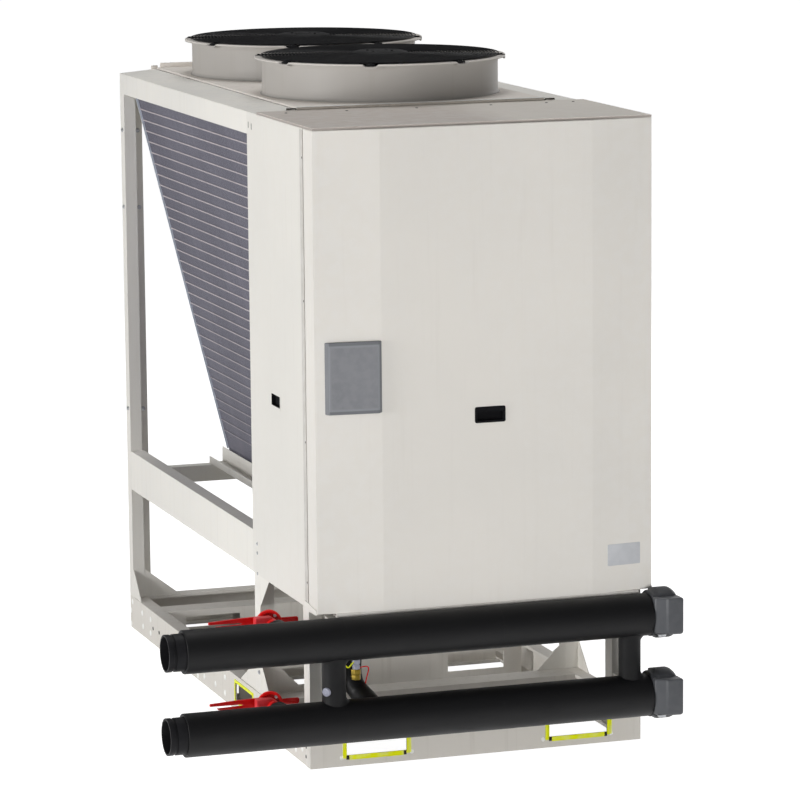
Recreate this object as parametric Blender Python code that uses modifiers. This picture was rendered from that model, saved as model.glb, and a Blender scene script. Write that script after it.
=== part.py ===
# Air-cooled water chiller module: a free-standing unit with two roof fans in a row,
# V-shaped condenser coils in an open steel frame, a full-height front cabinet and two
# insulated water headers across the front. Metres, +Z up. X runs along the front,
# Y runs to the back. The origin is the bottom centre of the whole object.
import math

import bmesh
import bpy
from mathutils import Matrix, Vector

for old in list(bpy.data.objects):
    bpy.data.objects.remove(old, do_unlink=True)

# Driving dimensions
GAP = 0.0003              # gap between pieces that touch
UNIT_W = 1.130            # frame width
UNIT_L = 2.250            # frame length
SHEET = 0.004             # folded sheet of the frame sections
PANEL = 0.003             # cabinet panels

BASE_H = 0.120            # base frame height
RAIL_W = 0.050            # flange width of the base sections
LIP = 0.012               # return lip of the sections

POCKET_W = 0.205          # fork pocket opening
POCKET_H = 0.060
POCKET_Z = 0.036          # pocket sill above the ground
POCKET_X = 0.220          # pocket centre from each side of the unit
POCKET_Y = 0.375          # pocket centre from the middle of the unit, along
TRIM_W = 0.010            # pocket trim width
TRIM_T = 0.003            # pocket trim stands proud by this

CROSS_FRONT_Y = 0.465     # front cross member, from the front
CROSS_REAR_IN = 0.345     # rear cross member, from the rear
CROSS_W = 0.100
CROSS_MID_OUT = 0.135     # webs of the middle cross members, from the middle of the unit

POST_D = 0.053            # corner post, along Y
POST_W = 0.043            # corner post, along X
FLANGE_W = 0.036          # bolting flange beside the post
FRAME_H = 2.050           # top of the side frames
TOP_BEAM_H = 0.072
MID_BEAM_Z0 = 0.525       # middle side beams
MID_BEAM_Z1 = 0.668
REAR_BEAM_Z0 = 0.537      # middle rear beam
REAR_BEAM_Z1 = 0.597
GUSSET_L = 0.105          # leg of a foot gusset
GUSSET_LONG = 0.189
GUSSET_SPREAD = 0.030     # the rear gussets reach this much further across
GUSSET_T = 0.004
INSET = 0.0006            # a welded gusset or pad lies this far inside the face beside it

CAB_D = 0.617             # cabinet depth, from the base front
CAB_Z0 = 0.5235
CAB_Z1 = FRAME_H          # the cabinet is as high as the side frames
MID_POST_D = 0.062
MID_POST_W = 0.048
FRONT_POST_W = 0.100
FRONT_POST_D = 0.060

DOOR_D = 0.090            # return flanges of the front panel
DOOR_BULGE = 0.021        # middle facet stands forward by this
DOOR_FACET_L = 0.214      # left facet line from the left side
DOOR_FACET_R = 0.209      # right facet line from the right side

HANDLE_W = 0.095
HANDLE_H = 0.044
HANDLE_DEEP = 0.016
HANDLE_RIM = 0.004
FRONT_HANDLE_X = 0.5725
FRONT_HANDLE_Z = 1.132
SIDE_HANDLE_Y = 0.330
SIDE_HANDLE_Z = 1.141

COVER_W = 0.184
COVER_H = 0.228
COVER_T = 0.014
COVER_BEVEL = 0.012
COVER_X = 0.122
COVER_Z = 1.274

COIL_T = 0.058            # coil thickness
COIL_TOP_X = 0.045        # outer face at the top, from the side
COIL_DROP = 0.084         # coil top below the top of the frames
COIL_TOP_Z = FRAME_H - COIL_DROP
COIL_BOT_X = 0.366
COIL_BOT_Z = 0.662
COIL_ROW = 0.041          # pitch of the tube rows along the slope
COIL_ROW_H = 0.006
COIL_ROW_OUT = 0.003
COIL_END_T = 0.006

PAN_X = 0.310             # drain pan side, from the side of the unit
PAN_LIP = 0.026           # outer lips of the pan
PAN_WEB_X = 0.360         # inner webs that the coils stand on
PAN_WEB_H = 0.059

ROOF_T = 0.008
ROOF_LAP = 0.005          # the cabinet's roof ends this far in front of the decks
RING_R = 0.397            # outer radius of the fan ring wall
RING_T = 0.004
RING_H = 0.125
RIM_OUT = 0.0255          # rolled rim, beyond the ring wall
RIM_H = 0.010
FOOT_OUT = 0.021          # flared foot on the deck, beyond the ring wall
DECK_EDGE = 0.016         # deck panel, beyond the ring's foot, along Y
DECK_FLANK = 0.010        # and along X
DECK_T = 0.009
DECK_BEVEL = 0.0025
DECK_SEAM = 0.002
DECK_BACK = 0.002         # rear edge of the last deck panel, from the rear of the frame
RIM_R = RING_R + RIM_OUT
FOOT_R = RING_R + FOOT_OUT
DECK_SIDE = (FOOT_R + DECK_EDGE) * 2
DECK_Y0 = UNIT_L - DECK_BACK - DECK_SIDE * 2 - DECK_SEAM
DECK_X0 = UNIT_W / 2 - FOOT_R - DECK_FLANK
ROOF_SPLIT_Y = DECK_Y0 - ROOF_LAP
VERGE_GAP = 0.005         # sloping side strip of the frame's roof, from the decks
VERGE_RISE = 0.012
VERGE_EDGE = 0.001        # its thickness at the side of the unit

GUARD_RISE = 0.018        # guard dome
GUARD_RINGS = 5
WIRE = 0.0045
GUARD_ARM_W = 0.008
GUARD_ARM_H = 0.009
GUARD_HUB_R = 0.095
GUARD_FEET = 8

TIP_GAP = 0.015           # blade tips to the ring wall
ROTOR_R = RING_R - RING_T - TIP_GAP
ROTOR_HUB_R = 0.108
ROTOR_HUB_H = 0.080
ROTOR_DROP = 0.034        # rotor hub top below the ring rim
BLADES = 6
BLADE_T = 0.005
SHAFT_R = 0.014
MOTOR_R = 0.085
MOTOR_H = 0.020

HEADER_Y = -0.140         # header axis, in front of the frame
HEADER_Z_UP = 0.450
HEADER_Z_LOW = 0.184
HEADER_R = 0.0690         # over the insulation
PIPE_R = 0.0590
BORE_R = 0.0530
HEADER_X0 = -0.456        # left end of the insulation, from the left side of the unit
HEADER_IN = 0.032         # right end of the insulation, inside the right side of the unit
HEADER_X1 = UNIT_W - HEADER_IN
PIPE_OUT = 0.056          # bare grooved end beyond the insulation
PIPE_IN = 0.030           # bare end inside the coupling
GROOVE_W = 0.009
GROOVE_D = 0.004
COUPLING_L = 0.086
COUPLING_R = 0.086
BLOCK_OUT = 0.090         # front face of the coupling's bolt block, from the header's axis
BLOCK_X = 0.036           # block's left side, from the coupling's left side
BLOCK_L = 0.054
BLOCK_UP = 0.065
BLOCK_DOWN = 0.055

BRANCH_R = 0.036
BRANCH_X_L = 0.038
BRANCH_IN = 0.094         # right branch, inside the right side of the unit
BRANCH_X_R = UNIT_W - BRANCH_IN
CRADLE_IN = 0.055         # a cradle's outer side, from the side of the unit
CRADLE_W = 0.040
CRADLE_H = 0.090

RISER_R = 0.034           # insulated riser behind the left branch
RISER_PATH = ((0.186, 0.030, 0.004), (0.181, 0.055, 0.021), (0.179, 0.100, 0.034), (0.167, 0.140, 0.053),
              (0.153, 0.162, 0.080), (0.149, 0.173, 0.115), (0.149, 0.173, 0.155), (0.148, 0.162, 0.200),
              (0.148, 0.130, 0.240), (0.148, 0.085, 0.260), (0.148, 0.040, 0.266))
FITTING_X = 0.152
FITTING_BACK = 0.130      # behind the lower header's axis
FITTING_UP = 0.100

VALVE_X = -0.101          # valve stem, from the left side of the unit
VALVE_UP = 0.013          # and above the header's axis
NECK_R = 0.019
PLATE_Y = 0.108           # back face of the fixed index plate
PLATE_T = 0.005
PLATE_R = 0.044
PLATE_TAIL = 0.099        # the plate's stop arm, to the right of the stem
LEVER_GAP = 0.002         # the lever turns this far behind the plate
LEVER_T = 0.010
LEVER_HUB_R = 0.028
LEVER_LONG = 0.197
LEVER_H = 0.016
LEVER_Y = PLATE_Y + PLATE_T + LEVER_GAP + LEVER_T / 2
PIN_R = 0.006
PIN_GAP = 0.0005          # running clearance of the lever on its pin

# the frame's own left side and front, in the object's centred frame
X_LEFT = HEADER_X0 - PIPE_OUT
X_RIGHT = HEADER_X1 + GAP + BLOCK_X + BLOCK_L
Y_FRONT = HEADER_Y - BLOCK_OUT
Y_BACK = UNIT_L
OX = -(X_LEFT + max(X_RIGHT, UNIT_W)) / 2
OY = -(Y_FRONT + Y_BACK) / 2

ROUND = 28                # facets round a header and what seats on it
THROAT = 36               # facets round a fan ring

parts = bpy.data.collections.new("water_chiller_module")
bpy.context.scene.collection.children.link(parts)
helpers = bpy.data.collections.new("cutters")
helpers.hide_render = True
bpy.context.scene.collection.children.link(helpers)

root = bpy.data.objects.new("unit_root", None)
root.location = (OX, OY, 0)
parts.objects.link(root)


def material(name, color, rough, metal=0.0):
    mat = bpy.data.materials.new(name)
    mat.use_nodes = True
    shader = mat.node_tree.nodes["Principled BSDF"]
    shader.inputs["Base Color"].default_value = (*color, 1)
    shader.inputs["Roughness"].default_value = rough
    shader.inputs["Metallic"].default_value = metal
    mat.diffuse_color = (*color, 1)
    return mat


WHITE = material("cabinet_paint", (0.72, 0.71, 0.68), 0.45)
FRAME = material("frame_paint", (0.66, 0.65, 0.62), 0.5)
GREY = material("grey_cover", (0.25, 0.26, 0.26), 0.45)
BLACK = material("black_plastic", (0.012, 0.012, 0.013), 0.45)
FOAM = material("pipe_insulation", (0.012, 0.012, 0.012), 0.6)
COUPLE = material("coupling_grey", (0.11, 0.115, 0.12), 0.45)
FIN = material("coil_fins", (0.20, 0.21, 0.23), 0.4, 0.8)
RED = material("red_paint", (0.62, 0.01, 0.01), 0.35)
BRASS = material("brass", (0.55, 0.38, 0.12), 0.3, 1.0)


def enroll(obj, mat, smooth=False, helper=False):
    for holder in list(obj.users_collection):
        holder.objects.unlink(obj)
    if helper:
        helpers.objects.link(obj)
        obj.hide_render = True
        obj.display_type = "WIRE"
    else:
        parts.objects.link(obj)
    obj.parent = root
    if mat:
        obj.data.materials.clear()
        obj.data.materials.append(mat)
    if smooth:
        obj.data.shade_smooth()
        obj.data.set_sharp_from_angle(angle=math.radians(35))
    return obj


def mesh_object(name, bm):
    mesh = bpy.data.meshes.new(name)
    bm.to_mesh(mesh)
    bm.free()
    return bpy.data.objects.new(name, mesh)


def box(name, lo, hi, mat=None, bevel=0.0, helper=False):
    """A block between two corners."""
    bm = bmesh.new()
    bmesh.ops.create_cube(bm, size=1.0)
    size = Vector(hi) - Vector(lo)
    bmesh.ops.scale(bm, vec=size, verts=bm.verts)
    obj = mesh_object(name, bm)
    obj.location = (Vector(lo) + Vector(hi)) / 2
    enroll(obj, mat, helper=helper)
    if bevel:
        add_bevel(obj, bevel)
    return obj


def add_bevel(obj, width, segments=1, angle=40):
    mod = obj.modifiers.new("edge", "BEVEL")
    mod.width = width
    mod.segments = segments
    mod.limit_method = "ANGLE"
    mod.angle_limit = math.radians(angle)
    return mod


TURNS = {"Z": Matrix.Identity(3),
         "Y": Matrix(((1, 0, 0), (0, 0, -1), (0, 1, 0))),
         "X": Matrix(((0, 0, 1), (1, 0, 0), (0, 1, 0)))}


def prism(name, outline, start, end, axis, mat=None, helper=False):
    """A flat outline drawn out from start to end along X, Y or Z. The outline's two
    numbers are Y and Z for X, X and Z for Y, and X and Y for Z."""
    curve = bpy.data.curves.new(name, "CURVE")
    curve.dimensions = "2D"
    curve.fill_mode = "BOTH"
    curve.extrude = abs(end - start) / 2
    loops = outline if isinstance(outline[0][0], (tuple, list)) else [outline]
    for loop in loops:
        spline = curve.splines.new("POLY")
        spline.points.add(len(loop) - 1)
        for point, (u, v) in zip(spline.points, loop):
            point.co = (u, v, 0, 1)
        spline.use_cyclic_u = True
    holder = bpy.data.objects.new(name + "_outline", curve)
    bpy.context.scene.collection.objects.link(holder)
    bpy.context.view_layer.update()
    graph = bpy.context.evaluated_depsgraph_get()
    mesh = bpy.data.meshes.new_from_object(holder.evaluated_get(graph))
    bpy.data.objects.remove(holder, do_unlink=True)
    bpy.data.curves.remove(curve)
    bm = bmesh.new()
    bm.from_mesh(mesh)
    bpy.data.meshes.remove(mesh)
    bmesh.ops.remove_doubles(bm, verts=bm.verts, dist=0.00001)
    turn = TURNS[axis].to_4x4()
    bmesh.ops.transform(bm, matrix=turn, verts=bm.verts)
    bmesh.ops.recalc_face_normals(bm, faces=bm.faces)
    obj = mesh_object(name, bm)
    middle = (start + end) / 2
    obj.location = {"X": (middle, 0, 0), "Y": (0, middle, 0), "Z": (0, 0, middle)}[axis]
    return enroll(obj, mat, helper=helper)


def turned(name, profile, steps, mat=None, axis="Z", at=(0, 0, 0), helper=False):
    """A closed or axis-to-axis profile of (radius, height) turned about an axis."""
    bm = bmesh.new()
    verts = [bm.verts.new((r, 0, h)) for r, h in profile]
    for a, b in zip(verts, verts[1:]):
        bm.edges.new((a, b))
    if profile[0][0] > 1e-6:
        bm.edges.new((verts[-1], verts[0]))
    obj = mesh_object(name, bm)
    enroll(obj, mat, helper=helper)
    mod = obj.modifiers.new("turn", "SCREW")
    mod.steps = steps
    mod.render_steps = steps
    mod.use_merge_vertices = True
    mod.merge_threshold = 0.00005
    mod.use_normal_calculate = True
    obj.location = at
    if axis == "X":
        obj.rotation_euler = (0, math.pi / 2, 0)
    if axis == "Y":
        obj.rotation_euler = (-math.pi / 2, 0, 0)
    return obj


def bake(obj):
    """The object with its modifiers made real, its mesh kept closed and facing out."""
    bpy.context.view_layer.update()
    graph = bpy.context.evaluated_depsgraph_get()
    mesh = bpy.data.meshes.new_from_object(obj.evaluated_get(graph))
    obj.modifiers.clear()
    obj.data = mesh
    bm = bmesh.new()
    bm.from_mesh(mesh)
    bmesh.ops.remove_doubles(bm, verts=bm.verts, dist=0.00001)
    bmesh.ops.recalc_face_normals(bm, faces=bm.faces)
    bm.to_mesh(mesh)
    bm.free()
    return obj


def boolean(obj, other, operation, consume=True):
    mod = obj.modifiers.new(operation.lower(), "BOOLEAN")
    mod.operation = operation
    mod.object = other
    mod.solver = "EXACT"
    bake(obj)
    if consume:
        bpy.data.objects.remove(other, do_unlink=True)
    return obj


def cut(obj, other):
    return boolean(obj, other, "DIFFERENCE")


def join(obj, *others):
    for other in others:
        boolean(obj, other, "UNION")
    return obj


def tube(name, points, radius, mat=None, sides=2, helper=False):
    """A round bar along a path, made a mesh with closed ends."""
    curve = bpy.data.curves.new(name, "CURVE")
    curve.dimensions = "3D"
    curve.bevel_depth = radius
    curve.bevel_resolution = sides
    curve.use_fill_caps = True
    spline = curve.splines.new("POLY")
    spline.points.add(len(points) - 1)
    for point, co in zip(spline.points, points):
        point.co = (*co, 1)
    holder = bpy.data.objects.new(name + "_path", curve)
    bpy.context.scene.collection.objects.link(holder)
    bpy.context.view_layer.update()
    graph = bpy.context.evaluated_depsgraph_get()
    mesh = bpy.data.meshes.new_from_object(holder.evaluated_get(graph))
    bpy.data.objects.remove(holder, do_unlink=True)
    bpy.data.curves.remove(curve)
    obj = bpy.data.objects.new(name, mesh)
    enroll(obj, mat, helper=helper)
    return bake(obj)


def channel(depth, height, z0, front=0.0, lip=LIP, facing=1):
    """C section in (across, up): its back at front, opening towards facing."""
    t = SHEET
    pts = [(0, 0), (depth, 0), (depth, lip), (depth - t, lip), (depth - t, t), (t, t),
           (t, height - t), (depth - t, height - t), (depth - t, height - lip),
           (depth, height - lip), (depth, height), (0, height)]
    return [(front + facing * u, z0 + v) for u, v in pts]


# Base frame
POCKET_Z1 = POCKET_Z + POCKET_H
pocket_xs = [POCKET_X, UNIT_W - POCKET_X]
pocket_ys = [UNIT_L / 2 - POCKET_Y, UNIT_L / 2 + POCKET_Y]


def pocket_collar(name, centre, face, axis, facing):
    """The raised trim round a fork pocket on a beam's web, sunk a little into the web."""
    outer = [(centre - POCKET_W / 2 - TRIM_W, POCKET_Z - TRIM_W),
             (centre + POCKET_W / 2 + TRIM_W, POCKET_Z - TRIM_W),
             (centre + POCKET_W / 2 + TRIM_W, POCKET_Z1 + TRIM_W),
             (centre - POCKET_W / 2 - TRIM_W, POCKET_Z1 + TRIM_W)]
    start = face + facing * TRIM_T
    end = face - facing * SHEET / 2
    return prism(name, outer, min(start, end), max(start, end), axis, helper=True)


def pocket_hole(name, centre, lo, hi, axis):
    half = POCKET_W / 2
    if axis == "Y":
        return box(name, (centre - half, lo, POCKET_Z), (centre + half, hi, POCKET_Z1), helper=True)
    return box(name, (lo, centre - half, POCKET_Z), (hi, centre + half, POCKET_Z1), helper=True)


def beam_across(name, face, facing, x0, x1, collars=True, depth=RAIL_W):
    """A beam along X: its web on the face, with both fork pockets cut through it."""
    beam = prism(name, channel(depth, BASE_H, 0, face, facing=facing), x0, x1, "X", FRAME)
    for i, centre in enumerate(pocket_xs):
        if collars:
            join(beam, pocket_collar(f"{name}_collar_{i}", centre, face, "Y", -facing))
        lo = min(face - 0.02, face + facing * (depth + 0.02))
        hi = max(face + 0.02, face + facing * (depth + 0.02))
        cut(beam, pocket_hole(f"{name}_hole_{i}", centre, lo, hi, "Y"))
    return beam


beam_across("base_beam_front", 0, 1, 0, UNIT_W)
prism("base_beam_rear", channel(RAIL_W, BASE_H, 0, UNIT_L, facing=-1),
      RAIL_W + GAP, UNIT_W - RAIL_W - GAP, "X", FRAME)

for side, face, facing in (("left", 0, 1), ("right", UNIT_W, -1)):
    name = f"base_rail_{side}"
    rail = prism(name, channel(RAIL_W, BASE_H, 0, face, facing=facing),
                 RAIL_W + GAP, UNIT_L, "Y", FRAME)
    for i, centre in enumerate(pocket_ys):
        join(rail, pocket_collar(f"{name}_collar_{i}", centre, face, "X", -facing))
        lo, hi = sorted((face - facing * 0.02, face + facing * (RAIL_W + 0.02)))
        cut(rail, pocket_hole(f"{name}_hole_{i}", centre, lo, hi, "X"))

CROSS_X0 = RAIL_W + GAP
CROSS_X1 = UNIT_W - RAIL_W - GAP
CROSS_REAR_Y = UNIT_L - CROSS_REAR_IN
CROSS_MID = ((UNIT_L / 2 - CROSS_MID_OUT, 1), (UNIT_L / 2 + CROSS_MID_OUT, -1))


def cross_hat(name, y0, width):
    """A cross member folded as an inverted U with the pockets through both legs."""
    t = SHEET
    outline = [(y0, 0), (y0 + t, 0), (y0 + t, BASE_H - t), (y0 + width - t, BASE_H - t),
               (y0 + width - t, 0), (y0 + width, 0), (y0 + width, BASE_H), (y0, BASE_H)]
    hat = prism(name, outline, CROSS_X0, CROSS_X1, "X", FRAME)
    for i, centre in enumerate(pocket_xs):
        cut(hat, pocket_hole(f"{name}_hole_{i}", centre, y0 - 0.02, y0 + width + 0.02, "Y"))
    return hat


cross_hat("base_cross_front", CROSS_FRONT_Y, CROSS_W)
cross_hat("base_cross_rear", CROSS_REAR_Y, CROSS_W)
for tag, (face, facing) in zip(("a", "b"), CROSS_MID):
    beam_across(f"base_cross_mid_{tag}", face, facing, CROSS_X0, CROSS_X1, collars=False)


# Posts
def triangle(name, corner, du, dv, lo, hi, axis):
    """A gusset with its right angle at the corner."""
    u, v = corner
    return prism(name, [(u, v), (u + du, v), (u, v + dv)] if du * dv > 0 else
                 [(u, v), (u, v + dv), (u + du, v)], lo, hi, axis, helper=True)


POST_Z0 = BASE_H + GAP
POST_Z1 = FRAME_H
for side, face, s in (("left", 0, 1), ("right", UNIT_W, -1)):
    y1 = UNIT_L
    y0 = y1 - POST_D
    t = SHEET
    outline = [(face, y0), (face + s * POST_W, y0), (face + s * POST_W, y1 - t),
               (face + s * (POST_W + FLANGE_W), y1 - t), (face + s * (POST_W + FLANGE_W), y1),
               (face + s * (POST_W - t), y1), (face + s * (POST_W - t), y0 + t),
               (face + s * t, y0 + t), (face + s * t, y1), (face, y1)]
    post = prism(f"post_rear_{side}", outline, POST_Z0, POST_Z1, "Z", FRAME)
    lo, hi = sorted((face + s * INSET, face + s * GUSSET_T * 0.8))
    foot = POST_Z0 + INSET
    side_gusset = triangle(f"post_rear_{side}_g1", (y0 + t / 2, foot), -GUSSET_L, GUSSET_L, lo, hi, "X")
    back_gusset = triangle(f"post_rear_{side}_g2", (face + s * (POST_W - t / 2), foot),
                           s * (GUSSET_L + GUSSET_SPREAD), GUSSET_L, y0 + INSET, y0 + GUSSET_T * 0.8, "Y")
    join(post, side_gusset, back_gusset)

MID_Y0 = CAB_D - MID_POST_D
for side, face, s in (("left", PANEL + GAP, 1), ("right", UNIT_W - PANEL - GAP, -1)):
    t = SHEET
    x_in = face + s * MID_POST_W
    outline = [(face, MID_Y0), (x_in, MID_Y0), (x_in, MID_Y0 + t), (face + s * t, MID_Y0 + t),
               (face + s * t, CAB_D - t), (x_in, CAB_D - t), (x_in, CAB_D), (face, CAB_D)]
    post = prism(f"post_mid_{side}", outline, POST_Z0, CAB_Z0 - GAP, "Z", FRAME)
    lo, hi = sorted((face + s * INSET, face + s * GUSSET_T * 0.8))
    top = CAB_Z0 - GAP - INSET
    foot_front = triangle(f"pm_{side}_g1", (MID_Y0 + t / 2, foot), -GUSSET_L, GUSSET_L, lo, hi, "X")
    foot_back = triangle(f"pm_{side}_g2", (CAB_D - t / 2, foot), GUSSET_LONG, GUSSET_L, lo, hi, "X")
    head = triangle(f"pm_{side}_g3", (MID_Y0 + t / 2, top), -GUSSET_L, -GUSSET_L, lo, hi, "X")
    inner = triangle(f"pm_{side}_g4", (x_in - s * t / 2, foot), s * GUSSET_L, GUSSET_L,
                     MID_Y0 + INSET, MID_Y0 + GUSSET_T * 0.8, "Y")
    join(post, foot_front, foot_back, head, inner)

# Front posts, with the cradles that hold the two headers
for side, face, s in (("left", 0, 1), ("right", UNIT_W, -1)):
    t = SHEET
    w = FRONT_POST_W
    d = FRONT_POST_D
    outline = [(face, 0), (face + s * w * 0.42, 0), (face + s * w * 0.42, 0.006),
               (face + s * w * 0.50, 0.006), (face + s * w * 0.50, 0), (face + s * w, 0),
               (face + s * w, d), (face + s * (w - t), d), (face + s * (w - t), t + 0.006),
               (face + s * t, t + 0.006), (face + s * t, d), (face, d)]
    post = prism(f"post_front_{side}", outline, POST_Z0, CAB_Z0 - GAP, "Z", FRAME)
    lo, hi = sorted((face + s * CRADLE_IN, face + s * (CRADLE_IN + CRADLE_W)))
    for level, z in (("up", HEADER_Z_UP), ("low", HEADER_Z_LOW)):
        cradle = box(f"cradle_{side}_{level}", (lo, HEADER_Y + 0.020, max(z - CRADLE_H / 2, POST_Z0)),
                     (hi, 0.002, z + CRADLE_H / 2), helper=True)
        bore = turned(f"cradle_bore_{side}_{level}",
                      [(0, 0.1), (HEADER_R + GAP, 0.1), (HEADER_R + GAP, -0.1), (0, -0.1)],
                      ROUND, axis="X", at=((lo + hi) / 2, HEADER_Y, z), helper=True)
        bake(bore)
        cut(cradle, bore)
        join(post, cradle)

# Middle and top beams
for side, face, s in (("left", 0, 1), ("right", UNIT_W, -1)):
    prism(f"side_beam_{side}", channel(RAIL_W, MID_BEAM_Z1 - MID_BEAM_Z0, MID_BEAM_Z0, face, facing=s),
          CAB_D + GAP, UNIT_L - POST_D - GAP, "Y", FRAME)
    prism(f"top_beam_{side}", channel(RAIL_W, TOP_BEAM_H, FRAME_H - TOP_BEAM_H, face, facing=s),
          CAB_D + GAP, UNIT_L - POST_D - GAP, "Y", FRAME)

REAR_BEAM_Y = UNIT_L - POST_D
prism("rear_mid_beam", channel(POST_D - 0.006, REAR_BEAM_Z1 - REAR_BEAM_Z0, REAR_BEAM_Z0,
                               REAR_BEAM_Y),
      POST_W + GAP, UNIT_W - POST_W - GAP, "X", FRAME)
TOP_X0 = POST_W + FLANGE_W + GAP
prism("rear_top_beam", channel(RAIL_W, TOP_BEAM_H, FRAME_H - TOP_BEAM_H, UNIT_L, facing=-1),
      TOP_X0, UNIT_W - TOP_X0, "X", FRAME)

# Cabinet
cabinet = box("cabinet_body", (PANEL + GAP, 0, CAB_Z0), (UNIT_W - PANEL - GAP, CAB_D, CAB_Z1), WHITE)

for side, face, s in (("left", 0, 1), ("right", UNIT_W, -1)):
    lo, hi = sorted((face, face + s * PANEL))
    panel = box(f"side_panel_{side}", (lo, 0.004, CAB_Z0), (hi, CAB_D, CAB_Z1), WHITE)
    hw, hh = HANDLE_W / 2, HANDLE_H / 2
    lo, hi = sorted((face - s * 0.01, face + s * (PANEL + 0.01)))
    cut(panel, box(f"sp_hole_{side}", (lo, SIDE_HANDLE_Y - hw, SIDE_HANDLE_Z - hh),
                   (hi, SIDE_HANDLE_Y + hw, SIDE_HANDLE_Z + hh), helper=True))
    lo, hi = sorted((face, face + s * (HANDLE_DEEP + PANEL)))
    cut(cabinet, box(f"cab_hole_{side}", (lo, SIDE_HANDLE_Y - hw, SIDE_HANDLE_Z - hh),
                     (hi, SIDE_HANDLE_Y + hw, SIDE_HANDLE_Z + hh), helper=True))


def handle_cup(name, centre, facing, depth, mat=BLACK):
    """A flush pull: a rim round a cup with a finger lip along its top."""
    hw, hh = HANDLE_W / 2 - GAP, HANDLE_H / 2 - GAP
    axis = "Y" if facing[1] else "X"
    out = facing[1] or facing[0]
    face = centre[1] if axis == "Y" else centre[0]
    u = centre[0] if axis == "Y" else centre[1]
    z = centre[2]
    body = prism(name, [(u - hw, z - hh), (u + hw, z - hh), (u + hw, z + hh), (u - hw, z + hh)],
                 *sorted((face - out * (depth - GAP), face + out * HANDLE_RIM / 2)), axis, mat)
    rw, rh = hw + HANDLE_RIM, hh + HANDLE_RIM
    rim = prism(name + "_rim", [(u - rw, z - rh), (u + rw, z - rh), (u + rw, z + rh), (u - rw, z + rh)],
                *sorted((face + out * GAP, face + out * HANDLE_RIM)), axis, helper=True)
    join(body, rim)
    t = 0.003
    cup = prism(name + "_cup", [(u - hw + t, z - hh + t), (u + hw - t, z - hh + t),
                                (u + hw - t, z + hh * 0.35), (u - hw + t, z + hh * 0.35)],
                *sorted((face - out * (depth - t), face + out * 0.02)), axis, helper=True)
    return cut(body, cup)


for side, face, s in (("left", 0, -1), ("right", UNIT_W, 1)):
    handle_cup(f"handle_{side}", (face, SIDE_HANDLE_Y, SIDE_HANDLE_Z), (s, 0), HANDLE_DEEP)

# front panel: three facets folded from one sheet, with return flanges all round
x0, x1 = 0.0, UNIT_W
DOOR_Y0 = -GAP
DOOR_Y1 = -DOOR_D - 0.005
facets = [(x0, DOOR_Y0), (x0, DOOR_Y1), (DOOR_FACET_L, DOOR_Y1 - DOOR_BULGE),
          (UNIT_W - DOOR_FACET_R, DOOR_Y1 - DOOR_BULGE), (x1, DOOR_Y1), (x1, DOOR_Y0)]
door = prism("front_panel", facets, CAB_Z0, CAB_Z1, "Z", WHITE)
inner = [(x0 + PANEL, 0.01), (x0 + PANEL, DOOR_Y1 + PANEL),
         (DOOR_FACET_L, DOOR_Y1 - DOOR_BULGE + PANEL),
         (UNIT_W - DOOR_FACET_R, DOOR_Y1 - DOOR_BULGE + PANEL),
         (x1 - PANEL, DOOR_Y1 + PANEL), (x1 - PANEL, 0.01)]
cut(door, prism("door_inside", inner, CAB_Z0 + PANEL, CAB_Z1 - PANEL, "Z", helper=True))
DOOR_FACE = DOOR_Y1 - DOOR_BULGE
hw, hh = HANDLE_W / 2, HANDLE_H / 2
cut(door, box("door_handle_hole", (FRONT_HANDLE_X - hw, DOOR_FACE - 0.01, FRONT_HANDLE_Z - hh),
              (FRONT_HANDLE_X + hw, DOOR_FACE + 0.03, FRONT_HANDLE_Z + hh), helper=True))
handle_cup("handle_front", (FRONT_HANDLE_X, DOOR_FACE, FRONT_HANDLE_Z), (0, -1), HANDLE_DEEP)

# grey cover on the left facet, following its slope
slope = math.atan2(-DOOR_BULGE, DOOR_FACET_L)
bm = bmesh.new()
bmesh.ops.create_cube(bm, size=1.0)
bmesh.ops.scale(bm, vec=(COVER_W, COVER_T, COVER_H), verts=bm.verts)
front = [v for v in bm.verts if v.co.y < 0]
for v in front:
    v.co.x *= 1 - 2 * COVER_BEVEL / COVER_W
cover = mesh_object("control_cover", bm)
cover_y = DOOR_Y1 + math.tan(slope) * COVER_X - (COVER_T / 2 + GAP) / math.cos(slope)
cover.location = (COVER_X, cover_y, COVER_Z)
cover.rotation_euler = (0, 0, slope)
enroll(cover, GREY)

# Roof
ROOF_Z0 = FRAME_H + GAP
box("roof_front", (0, DOOR_Y1, CAB_Z1 + GAP), (UNIT_W, ROOF_SPLIT_Y, CAB_Z1 + GAP + ROOF_T), WHITE)
DECK_Z0 = CAB_Z1 + GAP * 2 + ROOF_T
verge = DECK_X0 - VERGE_GAP
roof_section = [(0, ROOF_Z0), (UNIT_W, ROOF_Z0), (UNIT_W, ROOF_Z0 + VERGE_EDGE),
                (UNIT_W - verge, ROOF_Z0 + VERGE_RISE), (UNIT_W - verge, DECK_Z0 - GAP),
                (verge, DECK_Z0 - GAP), (verge, ROOF_Z0 + VERGE_RISE), (0, ROOF_Z0 + VERGE_EDGE)]
frame_roof = prism("roof_frame", roof_section, ROOF_SPLIT_Y + GAP, UNIT_L, "Y", FRAME)

deck_ys = [DECK_Y0 + DECK_SIDE / 2, DECK_Y0 + DECK_SIDE * 1.5 + DECK_SEAM]
DECK_Z1 = DECK_Z0 + DECK_T
RIM_Z = DECK_Z1 + RING_H
CENTRE_X = UNIT_W / 2
for yc in deck_ys:
    hole = turned("roof_bore", [(0, 0.2), (RING_R - RING_T, 0.2), (RING_R - RING_T, -0.2), (0, -0.2)],
                  THROAT, at=(CENTRE_X, yc, DECK_Z0), helper=True)
    bake(hole)
    cut(frame_roof, hole)

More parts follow.
